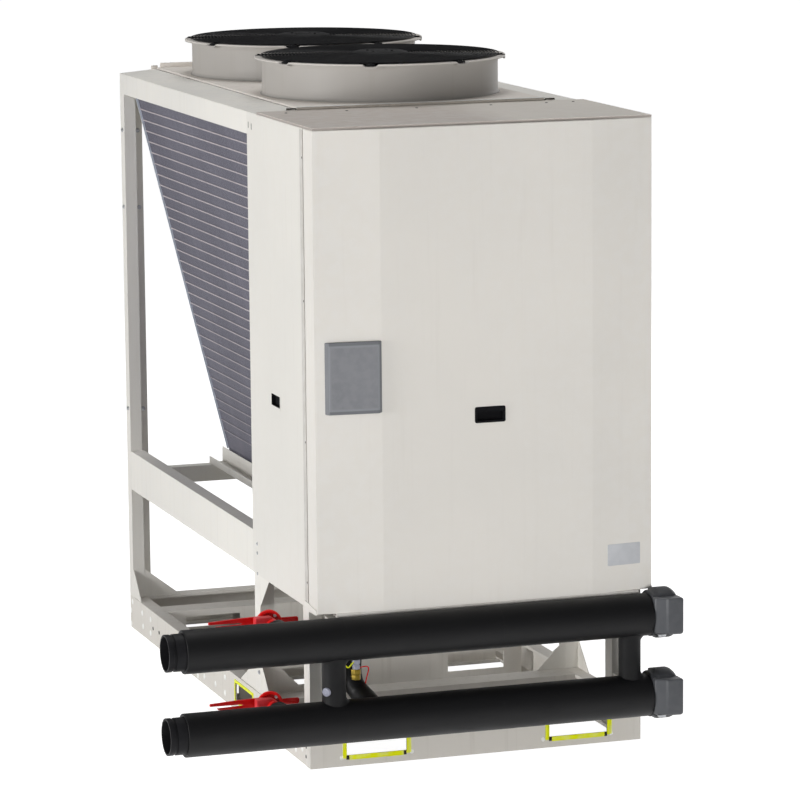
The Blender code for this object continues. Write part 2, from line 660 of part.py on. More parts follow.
for tag, yc in zip(("front", "rear"), deck_ys):
    half = DECK_SIDE / 2
    deck = box(f"fan_deck_{tag}", (DECK_X0, yc - half, DECK_Z0), (UNIT_W - DECK_X0, yc + half, DECK_Z1), FRAME)
    add_bevel(deck, DECK_BEVEL)
    bake(deck)
    r = RING_R
    t = RING_T
    bore = turned(f"deck_bore_{tag}", [(0, 0.2), (r - t, 0.2), (r - t, -0.2), (0, -0.2)], THROAT,
                  at=(CENTRE_X, yc, DECK_Z0), helper=True)
    bake(bore)
    cut(deck, bore)
    foot = DECK_Z1 + GAP
    ring_profile = [(RIM_R, RIM_Z), (RIM_R, RIM_Z - RIM_H), (RIM_R - t, RIM_Z - RIM_H),
                    (RIM_R - t, RIM_Z - t), (r + 0.004, RIM_Z - t), (r, RIM_Z - 0.016),
                    (r, foot + 0.020), (r + 0.006, foot + 0.007), (FOOT_R, foot + 0.003),
                    (FOOT_R, foot), (r - t, foot), (r - t, RIM_Z - 0.012), (r + 0.002, RIM_Z)]
    ring = turned(f"fan_ring_{tag}", ring_profile, THROAT, FRAME, at=(CENTRE_X, yc, 0))
    bake(ring)
    ring.data.shade_smooth()
    ring.data.set_sharp_from_angle(angle=math.radians(30))

# Fans: guard with motor, and rotor
GUARD_Z = RIM_Z + GAP


def dome(r):
    """Height of the guard's wires above the rim, at radius r."""
    return GUARD_RISE * (1 - (r / RING_R) ** 2)


ROTOR_TOP = RIM_Z - ROTOR_DROP
MOTOR_Z1 = GUARD_Z + GUARD_RISE
for tag, yc in zip(("front", "rear"), deck_ys):
    bm = bmesh.new()
    r_in = GUARD_HUB_R + 0.012
    r_out = RING_R + 0.004
    for i in range(GUARD_RINGS):
        r = r_in + (r_out - r_in) * i / (GUARD_RINGS - 1)
        z = dome(r) + WIRE
        ring = []
        n = 24
        for k in range(n):
            a = 2 * math.pi * k / n
            ring.append([bm.verts.new(((r + dr) * math.cos(a), (r + dr) * math.sin(a), z + dz))
                         for dr, dz in ((WIRE / 2, -WIRE / 3), (0, WIRE / 2), (-WIRE / 2, -WIRE / 3))])
        for k in range(n):
            a, b = ring[k], ring[(k + 1) % n]
            for j in range(3):
                bm.faces.new((a[j], a[(j + 1) % 3], b[(j + 1) % 3], b[j]))
    bmesh.ops.recalc_face_normals(bm, faces=bm.faces)
    guard = mesh_object(f"fan_guard_{tag}", bm)
    enroll(guard, BLACK)
    guard.location = (CENTRE_X, yc, GUARD_Z)
    arm_start = GUARD_HUB_R - 0.014
    arm_end = RIM_R - 0.006
    for k in range(GUARD_FEET):
        top = []
        n = 4
        for i in range(n + 1):
            u = arm_start + (arm_end - arm_start) * i / n
            top.append((u, dome(min(u, RING_R)) + GUARD_ARM_H))
        low = [(u, max(v - GUARD_ARM_H - 0.002, 0.0)) for u, v in top]
        arm = prism(f"arm_{tag}_{k}", list(reversed(top)) + low, -GUARD_ARM_W / 2, GUARD_ARM_W / 2, "Y",
                    helper=True)
        arm.location = (CENTRE_X, yc, GUARD_Z)
        arm.rotation_euler = (0, 0, math.radians(22.5 + 45 * k))
        join(guard, arm)
    plate = turned(f"guard_plate_{tag}",
                   [(0, dome(0) + 0.012), (GUARD_HUB_R * 0.8, dome(0) + 0.011),
                    (GUARD_HUB_R, dome(GUARD_HUB_R) + 0.006), (GUARD_HUB_R, dome(GUARD_HUB_R) - 0.005),
                    (MOTOR_R, dome(GUARD_HUB_R) - 0.006), (MOTOR_R, -MOTOR_H),
                    (SHAFT_R, -MOTOR_H - 0.003), (SHAFT_R, -ROTOR_DROP - 0.030), (0, -ROTOR_DROP - 0.030)],
                   24, at=(CENTRE_X, yc, GUARD_Z), helper=True)
    bake(plate)
    join(guard, plate)

    # rotor: hub with a bore for the shaft, and twisted sickle blades
    bore = SHAFT_R + 0.001
    hub = turned(f"fan_rotor_{tag}",
                 [(bore, 0), (ROTOR_HUB_R - 0.008, 0), (ROTOR_HUB_R, -0.008), (ROTOR_HUB_R, -ROTOR_HUB_H),
                  (ROTOR_HUB_R - 0.012, -ROTOR_HUB_H), (ROTOR_HUB_R - 0.012, -0.045), (bore, -0.045)],
                 24, BLACK, at=(CENTRE_X, yc, ROTOR_TOP))
    bake(hub)
    for k in range(BLADES):
        bm = bmesh.new()
        spans, chords = 4, 4
        grid = []
        for i in range(spans + 1):
            f = i / spans
            r = ROTOR_HUB_R - 0.006 + (ROTOR_R - ROTOR_HUB_R + 0.006) * f
            chord = 0.120 + 0.085 * f
            pitch = math.radians(34 - 15 * f)
            sweep = 0.32 * f * f
            row = []
            for j in range(chords + 1):
                g = j / chords - 0.5
                a = sweep + g * chord * math.cos(pitch) / r
                camber = 0.010 * (1 - 4 * g * g)
                z = -ROTOR_HUB_H / 2 - g * chord * math.sin(pitch) + camber
                row.append(bm.verts.new((r * math.cos(a), r * math.sin(a), z)))
            grid.append(row)
        for i in range(spans):
            for j in range(chords):
                bm.faces.new((grid[i][j], grid[i + 1][j], grid[i + 1][j + 1], grid[i][j + 1]))
        blade = mesh_object(f"blade_{tag}_{k}", bm)
        enroll(blade, None, helper=True)
        solid = blade.modifiers.new("skin", "SOLIDIFY")
        solid.thickness = BLADE_T
        solid.offset = 0
        blade.location = (CENTRE_X, yc, ROTOR_TOP)
        blade.rotation_euler = (0, 0, 2 * math.pi * k / BLADES)
        bake(blade)
        join(hub, blade)
    hub.data.shade_smooth()
    hub.data.set_sharp_from_angle(angle=math.radians(35))

# Coils
COIL_Y0 = CAB_D + GAP
COIL_Y1 = UNIT_L - POST_D - 0.025
run = Vector((COIL_BOT_X - COIL_TOP_X, COIL_BOT_Z - COIL_TOP_Z))
length = run.length
down = run / length
inward = Vector((-down.y, down.x))
for side, s in (("left", 1), ("right", -1)):
    outer = [Vector((COIL_TOP_X, COIL_TOP_Z))]
    rows = int(length / COIL_ROW) - 1
    for i in range(rows):
        d = COIL_ROW * (i + 1)
        base = Vector((COIL_TOP_X, COIL_TOP_Z)) + down * d
        half = down * COIL_ROW_H / 2
        out = -inward * COIL_ROW_OUT
        outer += [base - half, base - half * 0.5 + out, base + half * 0.5 + out, base + half]
    outer.append(Vector((COIL_BOT_X, COIL_BOT_Z)))
    outer.append(Vector((COIL_BOT_X, COIL_BOT_Z)) + inward * COIL_T)
    outer.append(Vector((COIL_TOP_X, COIL_TOP_Z)) + inward * COIL_T)
    place = (lambda p: (p.x, p.y)) if s > 0 else (lambda p: (UNIT_W - p.x, p.y))
    coil = prism(f"coil_{side}", [place(p) for p in outer], COIL_Y0, COIL_Y1, "Y", FIN)
    rim = 0.006
    a = Vector((COIL_TOP_X, COIL_TOP_Z)) - inward * rim
    b = Vector((COIL_BOT_X, COIL_BOT_Z)) - inward * rim
    c = b + inward * (COIL_T + 2 * rim)
    d = a + inward * (COIL_T + 2 * rim)
    join(coil, prism(f"coil_end_{side}", [place(p) for p in (a, b, c, d)], COIL_Y1 - 0.002,
                     COIL_Y1 + COIL_END_T, "Y", helper=True))

# drain pan under the V, and the sheet that closes the V at the back
pan_x1 = UNIT_W - PAN_X
pan_z0 = REAR_BEAM_Z1 + GAP
t = SHEET
web_x1 = UNIT_W - PAN_WEB_X
floor_z = pan_z0 + t
lip_z = pan_z0 + PAN_LIP
web_z = pan_z0 + PAN_WEB_H
pan = [(PAN_X, pan_z0), (pan_x1, pan_z0), (pan_x1, lip_z), (pan_x1 - t, lip_z), (pan_x1 - t, floor_z),
       (web_x1, floor_z), (web_x1, web_z), (web_x1 - t, web_z), (web_x1 - t, floor_z),
       (PAN_WEB_X + t, floor_z), (PAN_WEB_X + t, web_z), (PAN_WEB_X, web_z), (PAN_WEB_X, floor_z),
       (PAN_X + t, floor_z), (PAN_X + t, lip_z), (PAN_X, lip_z)]
prism("drain_pan", pan, CAB_D + GAP, UNIT_L - 0.010, "Y", FRAME)

END_Y = COIL_Y1 + GAP + COIL_END_T
top_x = COIL_TOP_X + 0.002
closure = [(COIL_BOT_X - 0.004, web_z + 0.004), (UNIT_W - COIL_BOT_X + 0.004, web_z + 0.004),
           (UNIT_W - top_x, FRAME_H - TOP_BEAM_H - 0.006), (top_x, FRAME_H - TOP_BEAM_H - 0.006)]
prism("plenum_end_panel", closure, END_Y, END_Y + PANEL, "Y", FRAME)

# Water headers
for tag, zc in (("upper", HEADER_Z_UP), ("lower", HEADER_Z_LOW)):
    zv = zc + VALVE_UP
    e0 = HEADER_X0 - PIPE_OUT
    g0 = e0 + 0.016
    profile = [(BORE_R, HEADER_X1 + PIPE_IN), (PIPE_R, HEADER_X1 + PIPE_IN),
               (PIPE_R, HEADER_X1), (HEADER_R, HEADER_X1), (HEADER_R, HEADER_X0), (PIPE_R, HEADER_X0),
               (PIPE_R, g0 + GROOVE_W), (PIPE_R - GROOVE_D, g0 + GROOVE_W), (PIPE_R - GROOVE_D, g0),
               (PIPE_R, g0), (PIPE_R, e0), (BORE_R, e0)]
    header = turned(f"header_{tag}", profile, ROUND, FOAM, axis="X", at=(0, HEADER_Y, zc))
    bake(header)
    # valve stem neck at the back, which carries the index plate and the lever's pin
    neck_y = PLATE_Y - GAP
    neck_l = neck_y - (HEADER_Y + PIPE_R + 0.002)
    neck = turned(f"neck_{tag}", [(0, 0.0), (NECK_R, 0.0), (NECK_R, -neck_l * 0.45),
                                  (NECK_R * 1.7, -neck_l * 0.5), (NECK_R * 1.7, -neck_l), (0, -neck_l)],
                  16, axis="Y", at=(VALVE_X, neck_y, zv), helper=True)
    bake(neck)
    join(header, neck)
    pin_end = PLATE_T + LEVER_GAP + LEVER_T + 0.004
    pin = turned(f"pin_{tag}", [(0, pin_end), (PIN_R, pin_end), (PIN_R, -0.01), (0, -0.01)], 16,
                 axis="Y", at=(VALVE_X, neck_y, zv), helper=True)
    bake(pin)
    join(header, pin)
    header.data.shade_smooth()
    header.data.set_sharp_from_angle(angle=math.radians(35))

    def pin_bore(name, clearance):
        r = PIN_R + clearance
        hole = turned(name, [(0, 0.05), (r, 0.05), (r, -0.05), (0, -0.05)], 16, axis="Y",
                      at=(VALVE_X, LEVER_Y, zv), helper=True)
        return bake(hole)

    def disc(radius, n=24):
        return [(VALVE_X + radius * math.cos(2 * math.pi * i / n),
                 zv + radius * math.sin(2 * math.pi * i / n)) for i in range(n)]

    # fixed index plate: a disc with a stop arm to the right
    plate = prism(f"valve_plate_{tag}", disc(PLATE_R), PLATE_Y, PLATE_Y + PLATE_T, "Y", RED)
    tail = [(PLATE_R * 0.7, -0.009), (PLATE_TAIL - 0.006, -0.009), (PLATE_TAIL, -0.004),
            (PLATE_TAIL, 0.004), (PLATE_TAIL - 0.006, 0.009), (PLATE_R * 0.7, 0.009)]
    join(plate, prism(f"plate_tail_{tag}", [(VALVE_X + u, zv + v) for u, v in tail],
                      PLATE_Y + INSET, PLATE_Y + PLATE_T - INSET, "Y", helper=True))
    cut(plate, pin_bore(f"plate_hole_{tag}", GAP))

    # lever: a hub on the pin and a long arm split into two prongs, to the left
    lo, hi = LEVER_Y - LEVER_T / 2, LEVER_Y + LEVER_T / 2
    lever = prism(f"valve_lever_{tag}", disc(LEVER_HUB_R, 20), lo, hi, "Y", RED)
    arm = [(-LEVER_HUB_R * 0.7, -LEVER_H * 0.9), (-LEVER_LONG * 0.80, -LEVER_H * 0.9),
           (-LEVER_LONG * 0.95, -LEVER_H * 0.75), (-LEVER_LONG * 0.97, -LEVER_H * 0.25),
           (-LEVER_LONG * 0.55, -LEVER_H * 0.10), (-LEVER_LONG * 0.55, LEVER_H * 0.05),
           (-LEVER_LONG, LEVER_H * 0.25), (-LEVER_LONG, LEVER_H * 0.70),
           (-LEVER_LONG * 0.5, LEVER_H), (-LEVER_HUB_R * 0.7, LEVER_H)]
    join(lever, prism(f"lever_arm_{tag}", [(VALVE_X + u, zv + v) for u, v in arm],
                      lo + INSET, hi - INSET, "Y", helper=True))
    cut(lever, pin_bore(f"lever_hole_{tag}", PIN_GAP))

    # grooved coupling: a round housing with a bolt block on its front
    c0 = HEADER_X1 + GAP
    c1 = c0 + COUPLING_L
    r = COUPLING_R
    seat = PIPE_R + GAP * 2
    ring = [(BORE_R - 0.004, c1), (r - 0.012, c1), (r, c1 - 0.014), (r, c0 + 0.020),
            (r - 0.008, c0 + 0.004), (r - 0.008, c0), (seat, c0),
            (seat, c0 + PIPE_IN + 0.001), (BORE_R - 0.004, c0 + PIPE_IN + 0.001)]
    coupling = turned(f"coupling_{tag}", ring, ROUND, COUPLE, axis="X", at=(0, HEADER_Y, zc))
    bake(coupling)
    block = box(f"block_{tag}", (c0 + BLOCK_X, HEADER_Y - BLOCK_OUT, zc - BLOCK_DOWN),
                (c0 + BLOCK_X + BLOCK_L, HEADER_Y - r + 0.020, zc + BLOCK_UP), bevel=0.008, helper=True)
    bake(block)
    join(coupling, block)

for tag, xc in (("left", BRANCH_X_L), ("right", BRANCH_X_R)):
    z0, z1 = HEADER_Z_LOW + 0.02, HEADER_Z_UP - 0.02
    pipe = turned(f"header_branch_{tag}",
                  [(0, z1), (BRANCH_R, z1), (BRANCH_R, z0), (0, z0)], 28, FOAM,
                  at=(xc, HEADER_Y, 0))
    bake(pipe)
    for level, z in (("u", HEADER_Z_UP), ("l", HEADER_Z_LOW)):
        saddle = turned(f"saddle_{tag}_{level}",
                        [(0, 0.09), (HEADER_R + GAP, 0.09), (HEADER_R + GAP, -0.09), (0, -0.09)],
                        ROUND, axis="X", at=(xc, HEADER_Y, z), helper=True)
        bake(saddle)
        cut(pipe, saddle)
    pipe.data.shade_smooth()
    pipe.data.set_sharp_from_angle(angle=math.radians(40))

# insulated riser behind the left branch, and the brass fitting on its front
riser = [(x, HEADER_Y + back, HEADER_Z_LOW + up) for x, back, up in RISER_PATH]
pipe = tube("supply_riser", riser, RISER_R, FOAM, sides=4)
for level, z in (("u", HEADER_Z_UP), ("l", HEADER_Z_LOW)):
    saddle = turned(f"riser_saddle_{level}",
                    [(0, 0.45), (HEADER_R + GAP, 0.45), (HEADER_R + GAP, 0.0), (0, 0.0)], ROUND,
                    axis="X", at=(0, HEADER_Y, z), helper=True)
    bake(saddle)
    cut(pipe, saddle)
fit_z = HEADER_Z_LOW + FITTING_UP
fit_y = HEADER_Y + FITTING_BACK
fitting = turned("brass_fitting", [(0, 0.066), (0.013, 0.066), (0.013, 0.036), (0.0165, 0.034),
                                   (0.0165, 0.016), (0.014, 0.0), (0, 0.0)], 6, BRASS,
                 at=(FITTING_X, fit_y, fit_z))
bake(fitting)
stub = turned("fitting_stub", [(0, 0.05), (0.008, 0.05), (0.008, 0.0), (0, 0.0)], 12, axis="Y",
              at=(FITTING_X, fit_y, fit_z + 0.017), helper=True)
bake(stub)
join(fitting, stub)
cut(fitting, tube("riser_skin", riser, RISER_R + GAP, helper=True, sides=4))
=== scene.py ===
from math import cos, pi, radians, sin, sqrt

import bmesh
import bpy
from mathutils import Matrix, Vector


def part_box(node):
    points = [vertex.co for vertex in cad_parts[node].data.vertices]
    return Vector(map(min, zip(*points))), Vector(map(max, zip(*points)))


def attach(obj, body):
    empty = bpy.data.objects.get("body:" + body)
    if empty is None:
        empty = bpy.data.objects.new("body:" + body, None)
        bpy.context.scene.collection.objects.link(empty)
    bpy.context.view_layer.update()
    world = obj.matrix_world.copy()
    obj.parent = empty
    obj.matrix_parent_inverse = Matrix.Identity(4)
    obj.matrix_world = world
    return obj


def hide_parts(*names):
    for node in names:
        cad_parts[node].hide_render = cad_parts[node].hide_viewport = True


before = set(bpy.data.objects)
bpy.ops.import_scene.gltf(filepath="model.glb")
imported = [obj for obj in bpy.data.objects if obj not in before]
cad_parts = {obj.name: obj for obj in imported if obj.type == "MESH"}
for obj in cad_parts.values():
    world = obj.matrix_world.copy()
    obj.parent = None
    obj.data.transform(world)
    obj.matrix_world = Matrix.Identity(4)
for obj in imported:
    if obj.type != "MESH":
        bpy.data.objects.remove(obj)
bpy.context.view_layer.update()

GAP = 0.0003        # between two pieces that touch
AXIS = 0.0002       # the smallest radius of a turned form, next to its axis
UNIT_W = 1.13
UNIT_L = 2.25
CENTRE_X = UNIT_W / 2

# the unit's left side plane, front plane and ground, in the frame's own metres
CORNER = Vector((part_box("roof_front")[0][0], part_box("roof_frame")[1][1] - UNIT_L, 0))


def spot(x, y, z):
    return CORNER + Vector((x, y, z))


def node_box(name):
    """A node's lowest and highest corners, in the unit's own metres."""
    lo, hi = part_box(name)
    return Vector(lo) - CORNER, Vector(hi) - CORNER


def lin(r, g, b):
    """Linear colour of an 8-bit screen colour."""
    out = []
    for c in (r, g, b):
        c /= 255
        out.append(c / 12.92 if c <= 0.04045 else ((c + 0.055) / 1.055) ** 2.4)
    return (*out, 1)


def added(name, data):
    """A new object in the scene."""
    made = bpy.data.objects.new(name, data)
    bpy.context.scene.collection.objects.link(made)
    return made


# Camera: a long lens in front of the left corner, a little above the roof
YAW, PITCH, ROLL = (radians(a) for a in (-18.3995, -9.3499, -0.5443))
PHOTO_PX = 800
FOCAL_PX = 4064.255
SENSOR_MM = 36
ahead = Vector((sin(-YAW) * cos(PITCH), cos(YAW) * cos(PITCH), sin(PITCH)))
right = ahead.cross(Vector((0, 0, 1))).normalized()
up = right.cross(ahead)
right, up = (right * cos(ROLL) + up * sin(ROLL), up * cos(ROLL) - right * sin(ROLL))
lens = bpy.data.cameras.new("camera")
lens.lens = FOCAL_PX * SENSOR_MM / PHOTO_PX
lens.sensor_width = SENSOR_MM
lens.clip_end = 400
camera = added("camera", lens)
camera.matrix_world = Matrix((right, up, -ahead)).transposed().to_4x4()
camera.location = spot(-3.6966, -12.0484, 3.2664)
bpy.context.scene.camera = camera
bpy.context.scene.view_settings.view_transform = "Standard"


# Material graphs
def put(tree, kind, values=None, **props):
    """A node with its settings, and its inputs set or linked."""
    made = tree.nodes.new("ShaderNode" + kind)
    for key, value in props.items():
        setattr(made, key, value)
    for key, value in (values or {}).items():
        if isinstance(value, bpy.types.NodeSocket):
            tree.links.new(value, made.inputs[key])
        else:
            made.inputs[key].default_value = value
    return made


# what the group of a finish gives
EFFECT = [("Color", "Color"), ("Roughness", "Float"), ("Height", "Float")]


def group(name, takes, gives=EFFECT):
    """An empty node group with named inputs (name, kind, default) and outputs (name, kind)."""
    tree = bpy.data.node_groups.new(name, "ShaderNodeTree")
    for label, kind, default in takes:
        taken = tree.interface.new_socket(label, in_out="INPUT", socket_type="NodeSocket" + kind)
        taken.default_value = default
    for label, kind in gives:
        tree.interface.new_socket(label, in_out="OUTPUT", socket_type="NodeSocket" + kind)
    return tree, tree.nodes.new("NodeGroupInput").outputs, tree.nodes.new("NodeGroupOutput").inputs


def joined(tree, give, *values):
    """The values linked to the group's outputs, in their order."""
    for value, socket in zip(values, give):
        tree.links.new(value, socket)


def maths(tree, operation, a, b=0.0, c=0.0, clamp=False):
    return put(tree, "Math", {0: a, 1: b, 2: c}, operation=operation, use_clamp=clamp).outputs[0]


def times(tree, a, b, clamp=False):
    return maths(tree, "MULTIPLY", a, b, clamp=clamp)


def minus(tree, a, b):
    return maths(tree, "SUBTRACT", a, b)


def span(tree, value, low, high, to_low=0.0, to_high=1.0, smooth=False):
    """The value from low to high, mapped to the other range and kept inside it."""
    return put(tree, "MapRange", {"Value": value, "From Min": low, "From Max": high, "To Min": to_low,
                                  "To Max": to_high},
               interpolation_type="SMOOTHSTEP" if smooth else "LINEAR").outputs["Result"]


def blend_of(tree, factor, a, b, how="MIX"):
    """Node Mix of two colours."""
    return put(tree, "Mix", {0: factor, 6: a, 7: b}, data_type="RGBA", blend_type=how).outputs[2]


def noise(tree, place, scale, detail=2.0, rough=0.5):
    values = {"Vector": place, "Scale": scale, "Detail": detail, "Roughness": rough}
    return put(tree, "TexNoise", values).outputs[0]


def cells(tree, place, scale):
    return put(tree, "TexVoronoi", {"Vector": place, "Scale": scale}, feature="F1").outputs["Distance"]


def stretched(tree, place, by):
    return put(tree, "VectorMath", {0: place, 1: by}, operation="MULTIPLY").outputs[0]


def edge_wear(tree, place, sharp_from, scale, noise_from, noise_to):
    """Where an edge stands out and the wear has reached it."""
    ridge = span(tree, put(tree, "NewGeometry").outputs["Pointiness"], sharp_from, 0.6)
    return times(tree, ridge, span(tree, noise(tree, place, scale, 4.0), noise_from, noise_to), clamp=True)


# place on the unit: metres from its left side, front and ground
UNIT_PLACE, take, give = group("unit_place", [], [("Place", "Vector"), ("X", "Float"), ("Y", "Float"),
                                                  ("Z", "Float")])
here = put(UNIT_PLACE, "VectorMath", {0: put(UNIT_PLACE, "TexCoord").outputs["Object"], 1: tuple(CORNER)},
           operation="SUBTRACT").outputs[0]
joined(UNIT_PLACE, give, here, *put(UNIT_PLACE, "SeparateXYZ", {0: here}).outputs)


def placed(tree):
    return put(tree, "Group", node_tree=UNIT_PLACE).outputs


# stoved paint: slow mottling, thin run marks, dust near the ground, orange peel, worn edges lightened partly
# as wear and partly as a painted highlight
tree, take, give = group("stoved_paint", [("Paint", "Color", (1, 1, 1, 1)),
                                          ("Dust", "Color", (0.5, 0.45, 0.4, 1)),
                                          ("Grime", "Float", 0.3), ("Gloss", "Float", 0.45)])
STOVED_PAINT = tree
where = placed(tree)
cloud = noise(tree, where["Place"], 1.7, 3.0)
runs = noise(tree, stretched(tree, where["Place"], (34.0, 34.0, 1.6)), 1.0, 3.0, 0.6)
run_mask = span(tree, runs, 0.52, 0.8, smooth=True)
specks = span(tree, noise(tree, where["Place"], 140.0, 2.0), 0.66, 0.8, smooth=True)
foot_dust = span(tree, where["Z"], 0.0, 0.42, 0.55, 0.0, smooth=True)
dust = maths(tree, "MULTIPLY_ADD", run_mask, 0.45, foot_dust)
dust = maths(tree, "MULTIPLY_ADD", specks, 0.35, dust)
dust = times(tree, times(tree, dust, take["Grime"]), maths(tree, "ADD", cloud, 0.45), clamp=True)
mottle = put(tree, "CombineColor", {i: span(tree, cloud, 0.3, 0.7, low, 1.02)
                                    for i, low in enumerate((0.955, 0.96, 0.965))}).outputs[0]
dusty = blend_of(tree, dust, blend_of(tree, 1.0, take["Paint"], mottle, "MULTIPLY"), take["Dust"])
# edges lightened a little: partly wear, partly a painted highlight on the ridges
worn_and_highlit_edge = edge_wear(tree, where["Place"], 0.515, 26.0, 0.42, 0.62)
colour = blend_of(tree, times(tree, worn_and_highlit_edge, 0.35), dusty, (0.8, 0.79, 0.77, 1))
rough = maths(tree, "ADD", take["Gloss"], times(tree, dust, 0.35))
rough = maths(tree, "ADD", rough, span(tree, cloud, 0.3, 0.7, -0.04, 0.05), clamp=True)
peel = noise(tree, where["Place"], 380.0, 1.0)
joined(tree, give, colour, rough, maths(tree, "MULTIPLY_ADD", cloud, 0.6, times(tree, peel, 0.4)))

# moulded or cast grain: a tone that wanders, and a fine stipple
tree, take, give = group("fine_grain", [("Tone", "Color", (0.1, 0.1, 0.1, 1)),
                                        ("Worn", "Color", (0.2, 0.2, 0.2, 1)),
                                        ("Stipple", "Float", 600.0), ("Gloss", "Float", 0.5)])
FINE_GRAIN = tree
where = placed(tree)
cloud = noise(tree, where["Place"], 9.0, 3.0)
stipple = cells(tree, where["Place"], take["Stipple"])
rub = edge_wear(tree, where["Place"], 0.51, 40.0, 0.4, 0.6)
tone = blend_of(tree, span(tree, cloud, 0.35, 0.7, 0.0, 0.35), take["Tone"], take["Worn"])
rough = maths(tree, "ADD", take["Gloss"], span(tree, cloud, 0.3, 0.7, -0.06, 0.08), clamp=True)
joined(tree, give, blend_of(tree, rub, tone, take["Worn"]), rough,
       maths(tree, "MULTIPLY_ADD", cloud, 0.5, times(tree, stipple, 0.5)))

# closed-cell insulation: a matt skin with soft dents, pores and scuffs
tree, take, give = group("foam_skin", [("Tone", "Color", (0.012, 0.012, 0.013, 1)),
                                       ("Scuff", "Color", (0.05, 0.05, 0.05, 1))])
FOAM_SKIN = tree
where = placed(tree)
dents = noise(tree, stretched(tree, where["Place"], (5.0, 14.0, 14.0)), 1.0, 4.0)
pores = cells(tree, where["Place"], 520.0)
scuff = noise(tree, stretched(tree, where["Place"], (9.0, 40.0, 40.0)), 1.0, 5.0, 0.65)
scuff = span(tree, scuff, 0.56, 0.74, smooth=True)
rough = maths(tree, "ADD", span(tree, dents, 0.3, 0.7, 0.5, 0.6), times(tree, scuff, 0.12))
joined(tree, give, blend_of(tree, times(tree, scuff, 0.5), take["Tone"], take["Scuff"]), rough,
       maths(tree, "MULTIPLY_ADD", dents, 0.9, times(tree, pores, 0.12)))


def surface(name, rough=0.5, metal=0.0, specular=0.5):
    """A new material, its node tree and its Principled shader, constants set on the shader."""
    made = bpy.data.materials.new(name)
    made.use_nodes = True
    tree = made.node_tree
    shader = tree.nodes["Principled BSDF"]
    for key, value in (("Roughness", rough), ("Metallic", metal), ("Specular IOR Level", specular)):
        shader.inputs[key].default_value = value
    return made, tree, shader


def tint(tree, shader, colour):
    tree.links.new(colour, shader.inputs["Base Color"])


def bumped(tree, shader, height, strength, distance):
    bump = put(tree, "Bump", {"Strength": strength, "Distance": distance, "Height": height})
    tree.links.new(bump.outputs[0], shader.inputs["Normal"])


def dressed(tree, shader, kind, values, strength, distance):
    """The effect's colour, roughness and height on the shader. Gives the effect's outputs."""
    effect = put(tree, "Group", values, node_tree=kind).outputs
    tint(tree, shader, effect["Color"])
    tree.links.new(effect["Roughness"], shader.inputs["Roughness"])
    bumped(tree, shader, effect["Height"], strength, distance)
    return effect


def paint_values(colour, gloss, grime, dust):
    return {"Paint": lin(*colour), "Dust": lin(*dust), "Grime": grime, "Gloss": gloss}


def paint(name, colour, gloss=0.45, grime=0.25, dust=(142, 132, 118), specular=0.3):
    made, tree, shader = surface(name, specular=specular)
    effect = dressed(tree, shader, STOVED_PAINT, paint_values(colour, gloss, grime, dust), 0.12, 0.0015)
    return made, tree, shader, effect


def grain(name, tone, worn, stipple=600.0, gloss=0.5, metal=0.0, depth=0.2, specular=0.5):
    made, tree, shader = surface(name, metal=metal, specular=specular)
    values = {"Tone": lin(*tone), "Worn": lin(*worn), "Stipple": stipple, "Gloss": gloss}
    effect = dressed(tree, shader, FINE_GRAIN, values, depth, 0.0008)
    return made, tree, shader, effect


CABINET = paint("cabinet_paint", (228, 225, 218), 0.42, 0.12)[0]
DOOR = paint("door_paint", (229, 225, 218), 0.42, 0.1)[0]
FRAME = paint("frame_paint", (235, 232, 225), 0.48, 0.26)[0]
# verge strips: a lighter copy of the white paint, as painted light on the sloping strips
VERGE_LIT_COPY = paint("verge_paint_lit_copy", (246, 243, 236), 0.5, 0.3)[0]
DECK = paint("deck_paint", (240, 233, 225), 0.5, 0.45, specular=0.25)[0]
# joint strips and door hem: a darker paint as the shade of the recessed joint and of the gap under the door
JOINT_SHADE = paint("joint_shade_paint", (202, 198, 192), 0.5, 0.3, specular=0.2)[0]
PLUG = paint("plug_white", (250, 250, 247), 0.45, 0.1)[0]
TRIM_YELLOW = ((236, 242, 0), 0.4, 0.02, (150, 140, 60))
YELLOW = paint("pocket_yellow", *TRIM_YELLOW)[0]
BLACK = grain("guard_black", (12, 12, 14), (26, 26, 29), 900.0, 0.55, specular=0.12)[0]
ROTOR = grain("rotor_black", (18, 18, 20), (38, 38, 41), 700.0, 0.5, specular=0.2)[0]
CASTING = grain("coupling_casting", (52, 53, 56), (66, 67, 70), 420.0, 0.48, depth=0.35, specular=0.25)[0]
# the bolt block: a lighter copy of the same casting, as painted light on its lit faces
CAST_PAD_LIT_COPY = grain("coupling_pad_lit_copy", (74, 76, 80), (94, 95, 98), 420.0, 0.34)[0]
ZINC = grain("zinc_bolts", (176, 178, 182), (214, 215, 218), 900.0, 0.32, metal=0.9)[0]
PIPE = grain("dark_pipe", (21, 21, 23), (34, 34, 37), 500.0, 0.5, metal=0.1, specular=0.2)[0]
RED = grain("lever_red", (236, 18, 18), (196, 12, 14), 650.0, 0.34, depth=0.1)[0]
# the index plate's recess: a darker red as painted shade
RECESS_SHADE_RED = grain("index_recess_shade_red", (204, 14, 16), (176, 10, 12), 650.0, 0.42, depth=0.1)[0]
